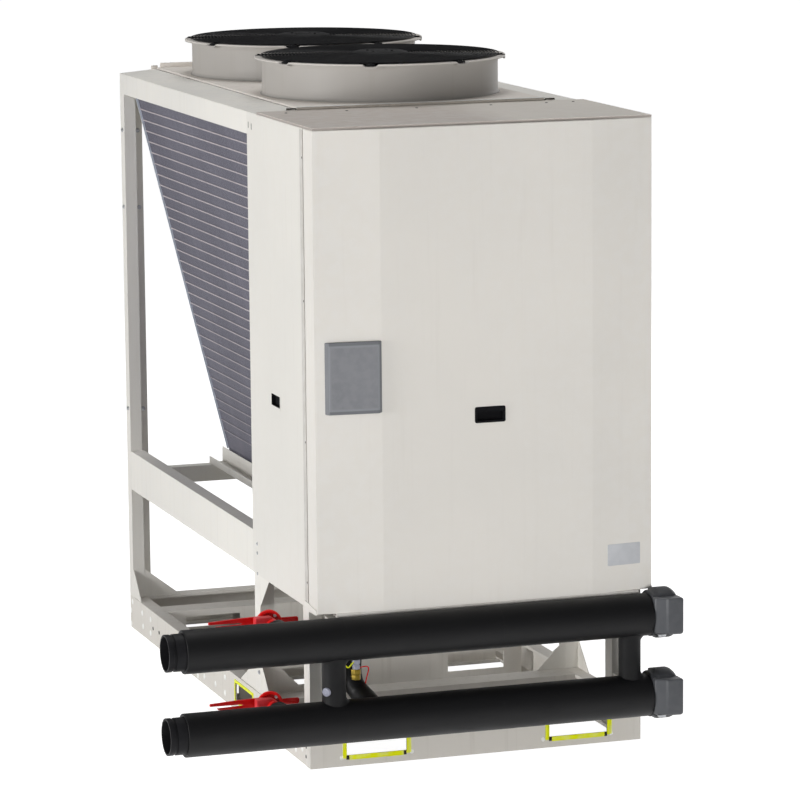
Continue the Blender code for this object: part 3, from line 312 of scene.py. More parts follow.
# the stem's boss: a paler red as a painted highlight
HIGHLIGHT_RED = grain("stem_boss_highlight_red", (232, 66, 72), (206, 40, 48), 650.0, 0.36, depth=0.1)[0]
BRASS = grain("brass_body", (134, 112, 28), (168, 144, 60), 800.0, 0.36, metal=0.6)[0]
BLUE = grain("cap_blue", (150, 152, 168), (184, 184, 196), 700.0, 0.4)[0]
HOLE = grain("hole_dark", (26, 26, 27), (40, 40, 41), 500.0, 0.8)[0]
GAP_SHADE_DARK = grain("gap_shade_dark", (66, 63, 58), (92, 88, 82), 700.0, 0.6, specular=0.2)[0]
PLATE = grain("bare_plate_silver", (196, 198, 202), (212, 213, 216), 900.0, 0.38, metal=0.2)[0]

FOAM, tree, shader = surface("insulation_black", specular=0.35)
dressed(tree, shader, FOAM_SKIN, {"Tone": lin(8, 8, 10), "Scuff": lin(20, 20, 22)}, 0.35, 0.003)

# roof: its tone set darker than the cabinet's white as painted shade on the top, its folded edges painted
# darker still as shade, and its top painted lighter towards the right as light
ROOF_PAINTED_LIGHT_AND_SHADE, tree, shader, effect = paint("roof_paint_painted_light_and_shade", (212, 203, 195), 0.5, 0.45, specular=0.25)
where = placed(tree)
# painted shade: the folded edges below the top are darkened
edges = maths(tree, "LESS_THAN", where["Z"], node_box("roof_front")[1].z - 0.0014)
# painted light: the top is lightened towards the right
lighter = span(tree, where["X"], 0.57, 0.71, 0.0, 0.65)
top_with_painted_light = blend_of(tree, lighter, effect["Color"], lin(236, 231, 222))
tint(tree, shader, blend_of(tree, edges, top_with_painted_light, lin(170, 162, 156)))

# fan rings: the top band of the rolled rim is painted lighter as a highlight
RING_WITH_RIM_HIGHLIGHT, tree, shader, effect = paint("ring_paint_rim_highlight", (172, 168, 163), 0.48, 0.3, specular=0.2)
RIM_Z = node_box("fan_ring_front")[1].z
# painted highlight: a lighter band at the top of the rim
rim = span(tree, placed(tree)["Z"], RIM_Z - 0.0042, RIM_Z - 0.0034)
tint(tree, shader, blend_of(tree, rim, effect["Color"], lin(206, 201, 195)))

# control cover: a skirt all round painted darker as shade, a fold painted lighter as a highlight, then the
# face
COVER_PAINTED_LIGHT_SHADE, tree, shader, effect = grain("cover_grey_painted_light_shade", (128, 129, 133), (142, 143, 147), 500.0, specular=0.25)
where = placed(tree)
lo, hi = node_box("control_cover")
insets = [maths(tree, "MINIMUM", minus(tree, where[axis], low), minus(tree, high, where[axis]))
          for axis, low, high in (("X", lo.x, hi.x), ("Z", lo.z, hi.z))]
inset = maths(tree, "MINIMUM", *insets)
# painted shade on the skirt and a painted highlight on the fold
fold = blend_of(tree, span(tree, inset, 0.0095, 0.011), lin(114, 116, 120), lin(140, 142, 146))
tint(tree, shader, blend_of(tree, span(tree, inset, 0.015, 0.019), fold, effect["Color"]))

# base sections: the raised trims of the fork pockets are yellow
BASE, tree, shader, effect = paint("base_paint", (230, 226, 219), 0.48, 0.36)
where = placed(tree)
TRIM_OUT = 0.0008
outside = maths(tree, "LESS_THAN", where["Y"], -TRIM_OUT)
aside = maths(tree, "MAXIMUM", maths(tree, "LESS_THAN", where["X"], -TRIM_OUT),
              maths(tree, "GREATER_THAN", where["X"], UNIT_W + TRIM_OUT))
yellow = put(tree, "Group", paint_values(*TRIM_YELLOW), node_tree=STOVED_PAINT).outputs
trim = maths(tree, "MAXIMUM", outside, aside)
tint(tree, shader, blend_of(tree, trim, effect["Color"], yellow["Color"]))

# coil: pressed fins in fine upright lines, tube rows in lighter lines, a pale end plate
COIL, tree, shader = surface("coil_fins", metal=0.35, specular=0.3)
where = placed(tree)
pleats = put(tree, "TexWave", {"Vector": stretched(tree, where["Place"], (0.0, 1.0, 0.0)), "Scale": 140.0,
                               "Distortion": 0.0}, wave_type="BANDS", bands_direction="Y").outputs[1]
streak = noise(tree, stretched(tree, where["Place"], (1.2, 60.0, 1.2)), 1.0, 4.0, 0.7)
cloud = noise(tree, where["Place"], 3.0, 3.0)
fins = blend_of(tree, span(tree, streak, 0.35, 0.7), lin(94, 94, 108), lin(127, 125, 137))
fins = blend_of(tree, span(tree, cloud, 0.35, 0.7, 0.0, 0.4), fins, lin(88, 86, 98))
# how far a point stands out from the coil's sloping face
COIL_TOP, COIL_LOW = Vector((0.045, 1.966)), Vector((0.366, 0.662))
slope = (COIL_LOW - COIL_TOP).normalized()
out = Vector((slope.y, -slope.x))
slant = times(tree, minus(tree, where["Z"], COIL_TOP.y), out.y)
half = minus(tree, CENTRE_X, maths(tree, "ABSOLUTE", minus(tree, where["X"], CENTRE_X)))
proud = maths(tree, "MULTIPLY_ADD", minus(tree, half, COIL_TOP.x), out.x, slant)
row = times(tree, span(tree, proud, 0.0004, 0.0022), span(tree, where["Z"], 0.7, 1.3, 0.35, 1.0))
row_tone = blend_of(tree, span(tree, streak, 0.3, 0.7), lin(190, 182, 186), lin(222, 214, 216))
fins = blend_of(tree, row, fins, row_tone)
end_plate = maths(tree, "GREATER_THAN", where["Y"], node_box("coil_left")[1].y - 0.0085)
tint(tree, shader, blend_of(tree, end_plate, fins, lin(206, 212, 222)))
tree.links.new(span(tree, streak, 0.3, 0.7, 0.38, 0.55), shader.inputs["Roughness"])
smooth_part = maths(tree, "MAXIMUM", row, end_plate)
bumped(tree, shader, times(tree, pleats, minus(tree, 1.0, smooth_part)), 0.35, 0.0015)


# Finishes of the CAD pieces that stay, by the first part of their names
FINISH = {"cabinet_body": CABINET, "side_panel": CABINET, "front_panel": DOOR, "roof_front": ROOF_PAINTED_LIGHT_AND_SHADE,
          "roof_frame": VERGE_LIT_COPY, "fan_deck": DECK, "control_cover": COVER_PAINTED_LIGHT_SHADE, "base_": BASE, "coil_": COIL,
          "drain_pan": FRAME, "plenum": FRAME, "post_": FRAME, "side_beam": FRAME, "top_beam": FRAME,
          "rear_": FRAME}
SOFT_EDGE = {"side_panel": 0.0008, "control_cover": 0.0022, "front_panel": 0.0022, "coil_": 0.0}
for name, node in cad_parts.items():
    start = next((key for key in FINISH if name.startswith(key)), None)
    if start is None:
        continue
    for held in node.material_slots:
        held.material = FINISH[start]
    width = SOFT_EDGE.get(start, 0.0012)
    if width:
        weld = node.modifiers.new("weld", "WELD")
        weld.merge_threshold = 0.00002
        edge = node.modifiers.new("soft_edge", "BEVEL")
        edge.width = width
        edge.segments = 2
        edge.limit_method = "ANGLE"
        edge.angle_limit = radians(30)


# Mesh tools, all in the unit's own metres
FLAT = Matrix.Identity(4)


def finished(name, bm, mats, body="unit", smooth=35, cad=None):
    """The mesh as a piece of the object, on its body. It may stand for a CAD node."""
    bmesh.ops.recalc_face_normals(bm, faces=bm.faces)
    bmesh.ops.translate(bm, vec=CORNER, verts=bm.verts)
    mesh = bpy.data.meshes.new(name)
    bm.to_mesh(mesh)
    bm.free()
    for mat in mats if isinstance(mats, list) else [mats]:
        mesh.materials.append(mat)
    mesh.shade_smooth()
    mesh.set_sharp_from_angle(angle=radians(smooth))
    piece = added(name, mesh)
    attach(piece, body)
    if cad:
        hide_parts(cad)


def facing(at, normal):
    """A frame at a point whose Z is the normal."""
    z = Vector(normal).normalized()
    side = Vector((0, 0, 1)) if abs(z.z) < 0.9 else Vector((1, 0, 0))
    x = side.cross(z).normalized()
    return Matrix.Translation(Vector(at)) @ Matrix((x, z.cross(x), z)).transposed().to_4x4()


def turned(place, angle):
    return place @ Matrix.Rotation(angle, 4, "Z")


def turns(count, start=0.0):
    """Equal angles round a circle."""
    return [start + 2 * pi * k / count for k in range(count)]


def on_circle(radius, count):
    return [Vector((radius * cos(a), radius * sin(a))) for a in turns(count)]


def rounded(profile, radius, steps=3, closed=True):
    """The profile's corners made round. A third number of a point is its own radius."""
    made = []
    count = len(profile)
    for i, point in enumerate(profile):
        p = Vector(point[:2])
        r = point[2] if len(point) > 2 else radius
        if not closed and i in (0, count - 1) or r <= 0:
            made.append(p)
            continue
        a = Vector(profile[i - 1][:2]) - p
        b = Vector(profile[(i + 1) % count][:2]) - p
        reach = min(r, a.length * 0.48, b.length * 0.48)
        a = p + a.normalized() * reach
        b = p + b.normalized() * reach
        for k in range(steps + 1):
            t = k / steps
            made.append(a * (1 - t) ** 2 + p * 2 * t * (1 - t) + b * t * t)
    return made


def box_outline(half_w, half_h, radius, steps=3):
    corners = [(-half_w, -half_h), (half_w, -half_h), (half_w, half_h), (-half_w, half_h)]
    return rounded(corners, radius, steps)


def loft(bm, rings, mat=0, ends=(0, -1)):
    """Faces from each ring of points to the next, and over the ends."""
    for one, two in zip(rings, rings[1:]):
        for k in range(len(one)):
            n = (k + 1) % len(one)
            bm.faces.new((one[k], one[n], two[n], two[k])).material_index = mat
    for end in ends:
        bm.faces.new(rings[end]).material_index = mat


def lathe(bm, profile, steps, place, ease=0.0, fine=2, mat=0, shape=None):
    """The profile of (radius, height), its corners eased, turned about the place's Z. One that starts at
    the axis is open there and makes a solid. shape(angle, r, h) may move a point."""
    solid = profile[0][0] == AXIS
    profile = rounded(profile, ease, fine, closed=not solid)
    rings = []
    for a in turns(steps):
        ring = []
        for r, h in profile:
            if shape:
                r, h = shape(a, r, h)
            ring.append(bm.verts.new(place @ Vector((r * cos(a), r * sin(a), h))))
        rings.append(ring)
    count = len(profile)
    for k in range(steps):
        one, two = rings[k], rings[(k + 1) % steps]
        for i in range(count - 1 if solid else count):
            j = (i + 1) % count
            bm.faces.new((one[i], two[i], two[j], one[j])).material_index = mat
    if solid:
        for i in (0, count - 1):
            bm.faces.new([ring[i] for ring in rings]).material_index = mat


def swept(bm, path, radius, sides=12, closed=False):
    """A round bar along the path. radius may be a list, one for each point."""
    path = [Vector(p) for p in path]
    count = len(path)
    rings = []
    side = None
    for i, p in enumerate(path):
        if closed:
            run = (path[(i + 1) % count] - path[i - 1]).normalized()
        else:
            run = (path[min(i + 1, count - 1)] - path[max(i - 1, 0)]).normalized()
        if side is None:
            side = run.orthogonal().normalized()
        side = (side - run * side.dot(run)).normalized()
        other = run.cross(side)
        r = radius[i] if isinstance(radius, list) else radius
        rings.append([bm.verts.new(p + (side * cos(t) + other * sin(t)) * r) for t in turns(sides)])
    if closed:
        loft(bm, rings + rings[:1], ends=())
    else:
        loft(bm, rings)


def drawn(bm, outline, start, end, place, edge=0.0, low=None, steps=2, mat=0):
    """A flat outline drawn along the place's Z, its rim at the end eased by edge and the other by low."""
    pts = [Vector(p[:2]) for p in outline]
    area = sum(a.x * b.y - b.x * a.y for a, b in zip(pts, pts[1:] + pts[:1]))
    if area < 0:
        pts.reverse()
    inward = []
    for i, p in enumerate(pts):
        a = (p - pts[i - 1]).normalized()
        b = (pts[(i + 1) % len(pts)] - p).normalized()
        na, nb = Vector((-a.y, a.x)), Vector((-b.y, b.x))
        mid = na + nb
        mid = mid.normalized() if mid.length > 1e-6 else na
        inward.append(mid / max(0.35, mid.dot(na)))
    if low is None:
        low = edge
    quarter = [pi / 2 * k / steps for k in range(1, steps + 1)]
    eased = [(1 - sin(t), 1 - cos(t)) for t in quarter]
    levels = [(start + low, 0.0), (end - edge, 0.0)]
    if low:
        levels = [(start + low * h, low * d) for h, d in reversed(eased)] + levels
    if edge:
        levels += [(end - edge * h, edge * d) for h, d in eased]
    loft(bm, [[bm.verts.new(place @ Vector((*(p + n * d), h))) for p, n in zip(pts, inward)]
              for h, d in levels], mat)


def slab(bm, lo, hi, edge=0.0008, mat=0):
    """A block between two corners with eased edges."""
    lo, hi = Vector(lo), Vector(hi)
    ease = min(edge, *((hi - lo) * 0.4))
    part = bmesh.new()
    bmesh.ops.create_cube(part, size=1.0)
    bmesh.ops.scale(part, vec=hi - lo, verts=part.verts)
    bmesh.ops.translate(part, vec=(lo + hi) / 2, verts=part.verts)
    bmesh.ops.bevel(part, geom=part.edges[:], offset=ease, segments=2, profile=0.5, affect="EDGES")
    copy(bm, part, FLAT, mat)
    part.free()


def copy(bm, part, place, mat=0):
    """part's faces added to bm at the place."""
    verts = {v: bm.verts.new(place @ v.co) for v in part.verts}
    for face in part.faces:
        bm.faces.new([verts[v] for v in face.verts]).material_index = mat


def screw_part(radius, height, socket=True):
    """A flanged hexagon head, its foot at the origin, facing Z."""
    part = bmesh.new()
    flange = radius * 1.35
    top = height * 0.42
    lathe(part, [(AXIS, 0), (flange, 0), (flange, height * 0.28), (radius, top), (AXIS, top)], 24, FLAT,
          radius * 0.12)
    drawn(part, on_circle(radius, 6), height * 0.3, height, FLAT, radius * 0.16, low=0.0)
    if socket:
        lathe(part, [(AXIS, height + radius * 0.1), (radius * 0.4, height + radius * 0.06),
                     (radius * 0.55, height - 0.0001)], 16, FLAT, radius * 0.1)
    return part


def rivet_part(radius, height):
    """A low round head with a small dimple."""
    part = bmesh.new()
    outline = [(0.22, 0.74), (0.34, 1.0), (0.62, 0.92), (0.9, 0.55), (1.0, 0.0)]
    lathe(part, [(AXIS, height * 0.72)] + [(radius * r, height * h) for r, h in outline] + [(AXIS, -AXIS)],
          20, FLAT)
    return part


def span_of(value, low, high):
    return max(0.0, min(1.0, (value - low) / (high - low)))


FEET = turns(8, radians(22.5))
RING_R = 0.397
RING_T = 0.004
RIM_R = 0.4225
DECK_Z1 = node_box("fan_deck_front")[1].z
PLATE_R = 0.095     # the motor's plate in the middle of a guard
RISE = 0.004        # of a guard's middle over its rim
FAN_Y = {tag: sum(node_box("fan_ring_" + tag), Vector()).y / 2 for tag in ("front", "rear")}


def dome(r):
    return RISE * (1 - (r / RING_R) ** 2)


# Fan rings: spun from sheet, the rim pressed down where a guard foot sits
def pressed(a, r, h):
    from_foot = min(abs((a - f + pi) % (2 * pi) - pi) for f in FEET)
    rim = span_of(h, RIM_Z - 0.0135, RIM_Z - 0.0075)
    return r, h - 0.0065 * span_of(from_foot, 0.066, 0.044) * rim


foot = DECK_Z1 + GAP
ring_outline = [
    (RING_R + 0.0065, foot, 0), (RING_R + 0.0065, foot + 0.0014, 0.001),
    (RING_R + 0.003, foot + 0.0024, 0.002), (RING_R, foot + 0.01, 0.006), (RING_R, RIM_Z - 0.019, 0.008),
    (RING_R + 0.0035, RIM_Z - 0.0058, 0.003), (RIM_R - 0.007, RIM_Z - 0.004, 0.001),
    (RIM_R - 0.004, RIM_Z - 0.0066, 0.0008), (RIM_R - 0.0004, RIM_Z - 0.0066, 0.0012),
    (RIM_R, RIM_Z, 0.003), (RING_R + 0.0005, RIM_Z, 0.005), (RING_R - RING_T, RIM_Z - 0.014, 0.006),
    (RING_R - RING_T, foot, 0)]
for tag, fan_y in FAN_Y.items():
    bm = bmesh.new()
    lathe(bm, ring_outline, 288, Matrix.Translation((CENTRE_X, fan_y, 0)), 0.004, 4, shape=pressed)
    finished("spun_ring_" + tag, bm, RING_WITH_RIM_HIGHLIGHT, smooth=50, cad="fan_ring_" + tag)

# Guards: rings of wire on eight pairs of ribs, pressed feet on the rim, the motor's plate in the middle
WIRES = 27
RIB_STEPS = 14
bolt = screw_part(0.005, 0.0045)
foot_plate = [(RING_R + 0.002, -0.014), (RING_R + 0.018, -0.014), (RIM_R - 0.002, -0.008),
              (RIM_R - 0.002, 0.008), (RING_R + 0.018, 0.014), (RING_R + 0.002, 0.014)]
motor_plate = [
    (AXIS, RISE + 0.0112), (0.03, RISE + 0.0112), (0.034, RISE + 0.0092), (0.058, RISE + 0.0092),
    (0.062, RISE + 0.0108), (0.076, RISE + 0.0108), (PLATE_R, dome(PLATE_R) + 0.006),
    (PLATE_R, dome(PLATE_R) + 0.001), (0.085, dome(PLATE_R) - 0.001), (0.085, -0.018), (0.08, -0.02),
    (0.014, -0.023), (0.014, -0.064), (AXIS, -0.064)]
for tag, fan_y in FAN_Y.items():
    middle = Matrix.Translation((CENTRE_X, fan_y, RIM_Z + GAP))
    bm = bmesh.new()
    for i in range(WIRES):
        r = PLATE_R + 0.008 + (RING_R - PLATE_R - 0.006) * i / (WIRES - 1)
        wire = [middle @ Vector((*p, dome(r) + 0.0045)) for p in on_circle(r, 120)]
        swept(bm, wire, 0.0018, 6, closed=True)
    for a in FEET:
        turn = turned(middle, a)
        for side in (-1, 1):
            rib = []
            for i in range(RIB_STEPS + 1):
                f = i / RIB_STEPS
                r = PLATE_R - 0.012 + (RING_R - PLATE_R + 0.018) * f
                rib.append((r, side * (0.009 - 0.003 * f), dome(r) + 0.0008))
            rib += [(RING_R + 0.01, side * 0.006, -0.0022), (RING_R + 0.019, side * 0.006, -0.0022)]
            swept(bm, [turn @ Vector(p) for p in rib], 0.0024, 8)
        drawn(bm, foot_plate, -0.0045, -0.0005, turn, 0.0008)
        copy(bm, bolt, turn @ Matrix.Translation((RING_R + 0.0125, 0, -0.0006)))
    lathe(bm, motor_plate, 96, middle, 0.0015)
    for a in turns(4, pi / 4):
        copy(bm, bolt, middle @ Matrix.Translation((0.046 * cos(a), 0.046 * sin(a), RISE + 0.0075)))
    for a in turns(24):
        drawn(bm, [(0.084, -0.0012), (0.0875, -0.0012), (0.0875, 0.0012), (0.084, 0.0012)], -0.017, 0.004,
              turned(middle, a))
    finished("wire_guard_" + tag, bm, BLACK, cad="fan_guard_" + tag)

# Rotors: a hub with ribs and six twisted sickle blades
HUB_R, HUB_H, TIP_R = 0.108, 0.08, 0.378
SPANS = CHORDS = 14
hub = [(0.0155, -0.0005), (0.06, -0.0005), (0.066, -0.003), (HUB_R - 0.012, -0.003), (HUB_R, -0.01),
       (HUB_R, -HUB_H), (HUB_R - 0.01, -HUB_H), (HUB_R - 0.01, -0.045), (0.0155, -0.045)]


def blade_point(f, g, side):
    """A point of one skin of a blade, at a share f of its span and g of its chord, from -0.5 to 0.5."""
    r = HUB_R - 0.006 + (TIP_R - HUB_R + 0.006) * f
    across = g * (0.12 + 0.085 * f)
    pitch = radians(34 - 15 * f)
    a = 0.32 * f * f + across * cos(pitch) / r
    z = -HUB_H / 2 - across * sin(pitch) + 0.01 * (1 - 4 * g * g)
    thick = 0.0026 * sqrt(max(0.06, 1 - (2 * g) ** 4)) * (1.0 - 0.25 * f)
    reach = min(r + 0.012 * f * f * cos(pi * g), TIP_R)
    return Vector((reach * cos(a), reach * sin(a), z + side * thick))


for tag, fan_y in FAN_Y.items():
    place = Matrix.Translation((CENTRE_X, fan_y, node_box("fan_rotor_" + tag)[1].z))
    bm = bmesh.new()
    lathe(bm, hub, 96, place, 0.003, 3)
    for a in turns(6):
        spin = turned(place, a)
        # round each section: along the upper skin, then back along the lower one
        around = [(j, 1) for j in range(CHORDS + 1)] + [(j, -1) for j in reversed(range(CHORDS + 1))]
        sections = [[bm.verts.new(spin @ blade_point(i / SPANS, j / CHORDS - 0.5, side))
                     for j, side in around] for i in range(SPANS + 1)]
        loft(bm, sections, ends=())
        for end in (sections[0], sections[-1]):
            for j in range(CHORDS):
                bm.faces.new((end[j], end[j + 1], end[-2 - j], end[-1 - j]))
    for a in turns(12):
        drawn(bm, [(0.018, -0.0016), (0.092, -0.0016), (0.092, 0.0016), (0.018, 0.0016)], -0.0035, 0.0002,
              turned(place, a), 0.0006, low=0.0)
    finished("sickle_rotor_" + tag, bm, ROTOR, "fan_" + tag, 40, "fan_rotor_" + tag)

# Headers: insulated pipes with bare grooved ends, and the necks that carry the valves
HEADER_Y = -0.14
HEADER_R = 0.069
PIPE_R = 0.059
BORE_R = 0.053
X0, X1 = -0.456, UNIT_W - 0.032         # of the insulation
PIPE_X0, PIPE_X1 = X0 - 0.056, X1 + 0.03
GROOVE_X = PIPE_X0 + 0.016
GROOVE_R = PIPE_R - 0.004
VALVE_X = -0.101
VALVE_UP = 0.013
INDEX_Y = 0.108
LEVELS = {"upper": 0.45, "lower": 0.184}
ALONG_X = Matrix.Rotation(pi / 2, 4, "Y")
sleeve = [(PIPE_R - 0.002, X1 - 0.003), (HEADER_R, X1 - 0.0001), (HEADER_R, X0), (PIPE_R - 0.002, X0 + 0.002)]
pipe = [(BORE_R, PIPE_X1), (PIPE_R, PIPE_X1), (PIPE_R, GROOVE_X + 0.009), (GROOVE_R, GROOVE_X + 0.009),
        (GROOVE_R, GROOVE_X), (PIPE_R, GROOVE_X), (PIPE_R, PIPE_X0), (BORE_R, PIPE_X0)]
NECK_Y = INDEX_Y - GAP
neck_l = NECK_Y - (HEADER_Y + PIPE_R + 0.002)
neck = [(AXIS, -neck_l), (0.0323, -neck_l), (0.0323, -neck_l * 0.52), (0.019, -neck_l * 0.44), (0.019, 0.0),
        (AXIS, 0.0)]
pin = [(AXIS, -0.001), (0.006, -0.001), (0.006, 0.0205), (AXIS, 0.0208)]
collar = [(0.0185, -0.06), (0.0225, -0.058), (0.0225, -0.004), (0.0185, -0.004)]
for tag, z in LEVELS.items():
    bm = bmesh.new()
    place = Matrix.Translation((0, HEADER_Y, z)) @ ALONG_X
    lathe(bm, sleeve, 128, place, 0.0035, 4)
    lathe(bm, pipe, 128, place, 0.0009, mat=1)
    # butt joints of the insulation
    for x in (X0 + 0.52, X0 + 1.04):
        swept(bm, [(x, HEADER_Y + p.x, z + p.y) for p in on_circle(HEADER_R - 0.0008, 96)], 0.0011, 6,
              closed=True)
    back = facing((VALVE_X, NECK_Y, z + VALVE_UP), (0, 1, 0))
    lathe(bm, neck, 48, back, 0.004, 3, mat=1)
    lathe(bm, pin, 32, back, 0.001, mat=2)
    # red boss of the stem, in front of the index plate, painted paler as a highlight
    slab(bm, (VALVE_X - 0.056, 0.066, z + 0.002), (VALVE_X + 0.002, 0.0985, z + 0.0425), 0.007, 3)
    lathe(bm, collar, 48, back, 0.002, 3, mat=4)
    finished("insulated_header_" + tag, bm, [FOAM, PIPE, ZINC, HIGHLIGHT_RED, RED], smooth=40,
             cad="header_" + tag)

# Branches between the headers: wrapped tees that flare into each header
BRANCH_LEVELS = 26
cap_outline = [(AXIS, 0.0075), (0.006, 0.0085), (0.0085, 0.0062), (0.012, 0.0062), (0.0142, 0.003),
               (0.0142, -0.006), (AXIS, -0.006)]
for tag, x, branch_r in (("left", 0.0365, 0.0385), ("right", UNIT_W - 0.094, 0.036)):
    bm = bmesh.new()
    rings = []
    for t in (i / BRANCH_LEVELS for i in range(BRANCH_LEVELS + 1)):
        flare = 0.01 * max(0.0, 1 - min(t, 1 - t) / 0.12) ** 2
        ring = []
        for a in turns(96):
            r = branch_r + flare * max(0.0, cos(a)) ** 1.5
            dy = r * sin(a)
            inside = sqrt(max(0.0, (HEADER_R + GAP) ** 2 - dy * dy))
            z0, z1 = LEVELS["lower"] + inside, LEVELS["upper"] - inside
            ring.append(bm.verts.new((x + r * cos(a), HEADER_Y + dy, z0 + (z1 - z0) * t)))
        rings.append(ring)
    loft(bm, rings)
    if tag == "left":
        place = facing((x - 0.0315, HEADER_Y - 0.023, 0.2895), (-0.8, -0.6, 0))
        lathe(bm, cap_outline, 48, place, 0.002, 3, mat=1)
    finished("wrapped_branch_" + tag, bm, [FOAM, BLUE], smooth=60,
             cad="header_branch_" + tag)

# Couplings: a ribbed housing in two halves with bolted pads, its bolt block to the front
C0 = X1 + GAP
C1 = C0 + 0.086
HOUSING_R = 0.086
housing = [
    (0.049, C1), (HOUSING_R - 0.013, C1, 0.004), (HOUSING_R, C1 - 0.015, 0.01),
    (HOUSING_R, C0 + 0.022, 0.008), (HOUSING_R - 0.0075, C0 + 0.012, 0.006),
    (HOUSING_R - 0.0075, C0, 0.004), (PIPE_R + 0.0006, C0), (PIPE_R + 0.0006, C0 + 0.031),
    (0.049, C0 + 0.031)]
B0, B1, BLOCK_Y = C0 + 0.0362, C0 + 0.0898, HEADER_Y - 0.0898
block = rounded([
    (C0 + 0.0005, HEADER_Y - 0.03, 0), (C0 + 0.0005, HEADER_Y - 0.064, 0.006),
    (B0 - 0.005, BLOCK_Y + 0.0075), (B0 + 0.0015, BLOCK_Y), (B1, BLOCK_Y, 0.006), (B1, HEADER_Y - 0.04, 0),
    (C0 + 0.06, HEADER_Y - 0.03, 0)], 0.0022, 4)
nut = screw_part(0.0075, 0.0085, socket=False)


def flattened(a, r, h):
    """The housing's front dips behind the bolt block, and its foot is drawn in a little."""
    dip = 0.016 * span_of(-sin(a), 0.55, 0.85) + 0.007 * span_of(cos(a), 0.45, 0.8)
    return (r - dip if r > 0.07 else r), h


for tag, z in LEVELS.items():
    bm = bmesh.new()
    lathe(bm, housing, 128, Matrix.Translation((0, HEADER_Y, z)) @ ALONG_X, 0.001, 4, shape=flattened)
    # the bolt block in the lighter copy of the casting, as painted light
    drawn(bm, block, z - 0.0548, z + 0.0648, FLAT, 0.0065, 0.01, steps=4, mat=2)
    for pad_z in (z + 0.066, z - 0.066):
        slab(bm, (C0 + 0.018, HEADER_Y + 0.02, pad_z - 0.012), (C0 + 0.064, HEADER_Y + 0.046, pad_z + 0.012),
             0.004)
    for x in (C0 + 0.02, C0 + 0.032):
        copy(bm, nut, facing((x, HEADER_Y - 0.06, z - 0.0546), (0, 0, -1)), 1)
    finished("grooved_coupling_" + tag, bm, [CASTING, ZINC, CAST_PAD_LIT_COPY], smooth=40,
             cad="coupling_" + tag)

# Valves: a ribbed index plate fixed on the neck, and a lever that turns on its pin. Both are drawn in a
# frame whose X runs to the unit's left, so their outlines, written as seen from the front, are mirrored.
LEVER_LOW, LEVER_HIGH = (corner.y - INDEX_Y for corner in node_box("valve_lever_upper"))
LEVER_L = 0.197
INDEX_R = 0.044


def mirrored(outline, radius, steps=3):
    return [(-p.x, p.y) for p in rounded(outline, radius, steps)]


index_plate = [
    (0.0064, 0.0), (INDEX_R - 0.002, 0.0), (INDEX_R, 0.0006), (INDEX_R, 0.0048), (INDEX_R - 0.004, 0.0049),
    (INDEX_R - 0.007, 0.0034), (0.03, 0.0034), (0.028, 0.0049), (0.0064, 0.0049)]
index_rim = [(0.0345, 0.001), (0.0345, -0.0035), (0.0365, -0.005), (0.0418, -0.005), (INDEX_R, -0.003),
             (INDEX_R, 0.001)]
tail = mirrored([(0.03, -0.004), (0.095, -0.004), (0.099, 0.001), (0.099, 0.011), (0.095, 0.0155),
                 (0.03, 0.0155)], 0.003)
brace = mirrored([(0.03, -0.0015), (0.088, 0.004), (0.088, 0.007), (0.03, 0.01)], 0.001, 2)
lever_hub = [
    (0.0066, LEVER_LOW), (0.027, LEVER_LOW), (0.028, LEVER_LOW + 0.001), (0.028, LEVER_HIGH - 0.002),
    (0.024, LEVER_HIGH), (0.016, LEVER_HIGH), (0.015, LEVER_HIGH - 0.0012), (0.0066, LEVER_HIGH - 0.0012)]
arm = mirrored([
    (-0.018, -0.01), (-LEVER_L * 0.55, -0.011), (-LEVER_L * 0.86, -0.0062),
    (-LEVER_L * 0.88, -0.001, 0.002), (-LEVER_L * 0.5, 0.0012), (-LEVER_L * 0.42, 0.003, 0.0008),
    (-LEVER_L * 0.5, 0.0058, 0.0008), (-LEVER_L, 0.0066, 0.002), (-LEVER_L, 0.015),
    (-LEVER_L * 0.5, 0.0205), (-0.018, 0.0232)], 0.004, 4)
arm_rib = mirrored([(-0.03, 0.012), (-0.1, 0.011), (-0.1, 0.015), (-0.03, 0.017)], 0.0015)
stop_screw = screw_part(0.0042, 0.004)
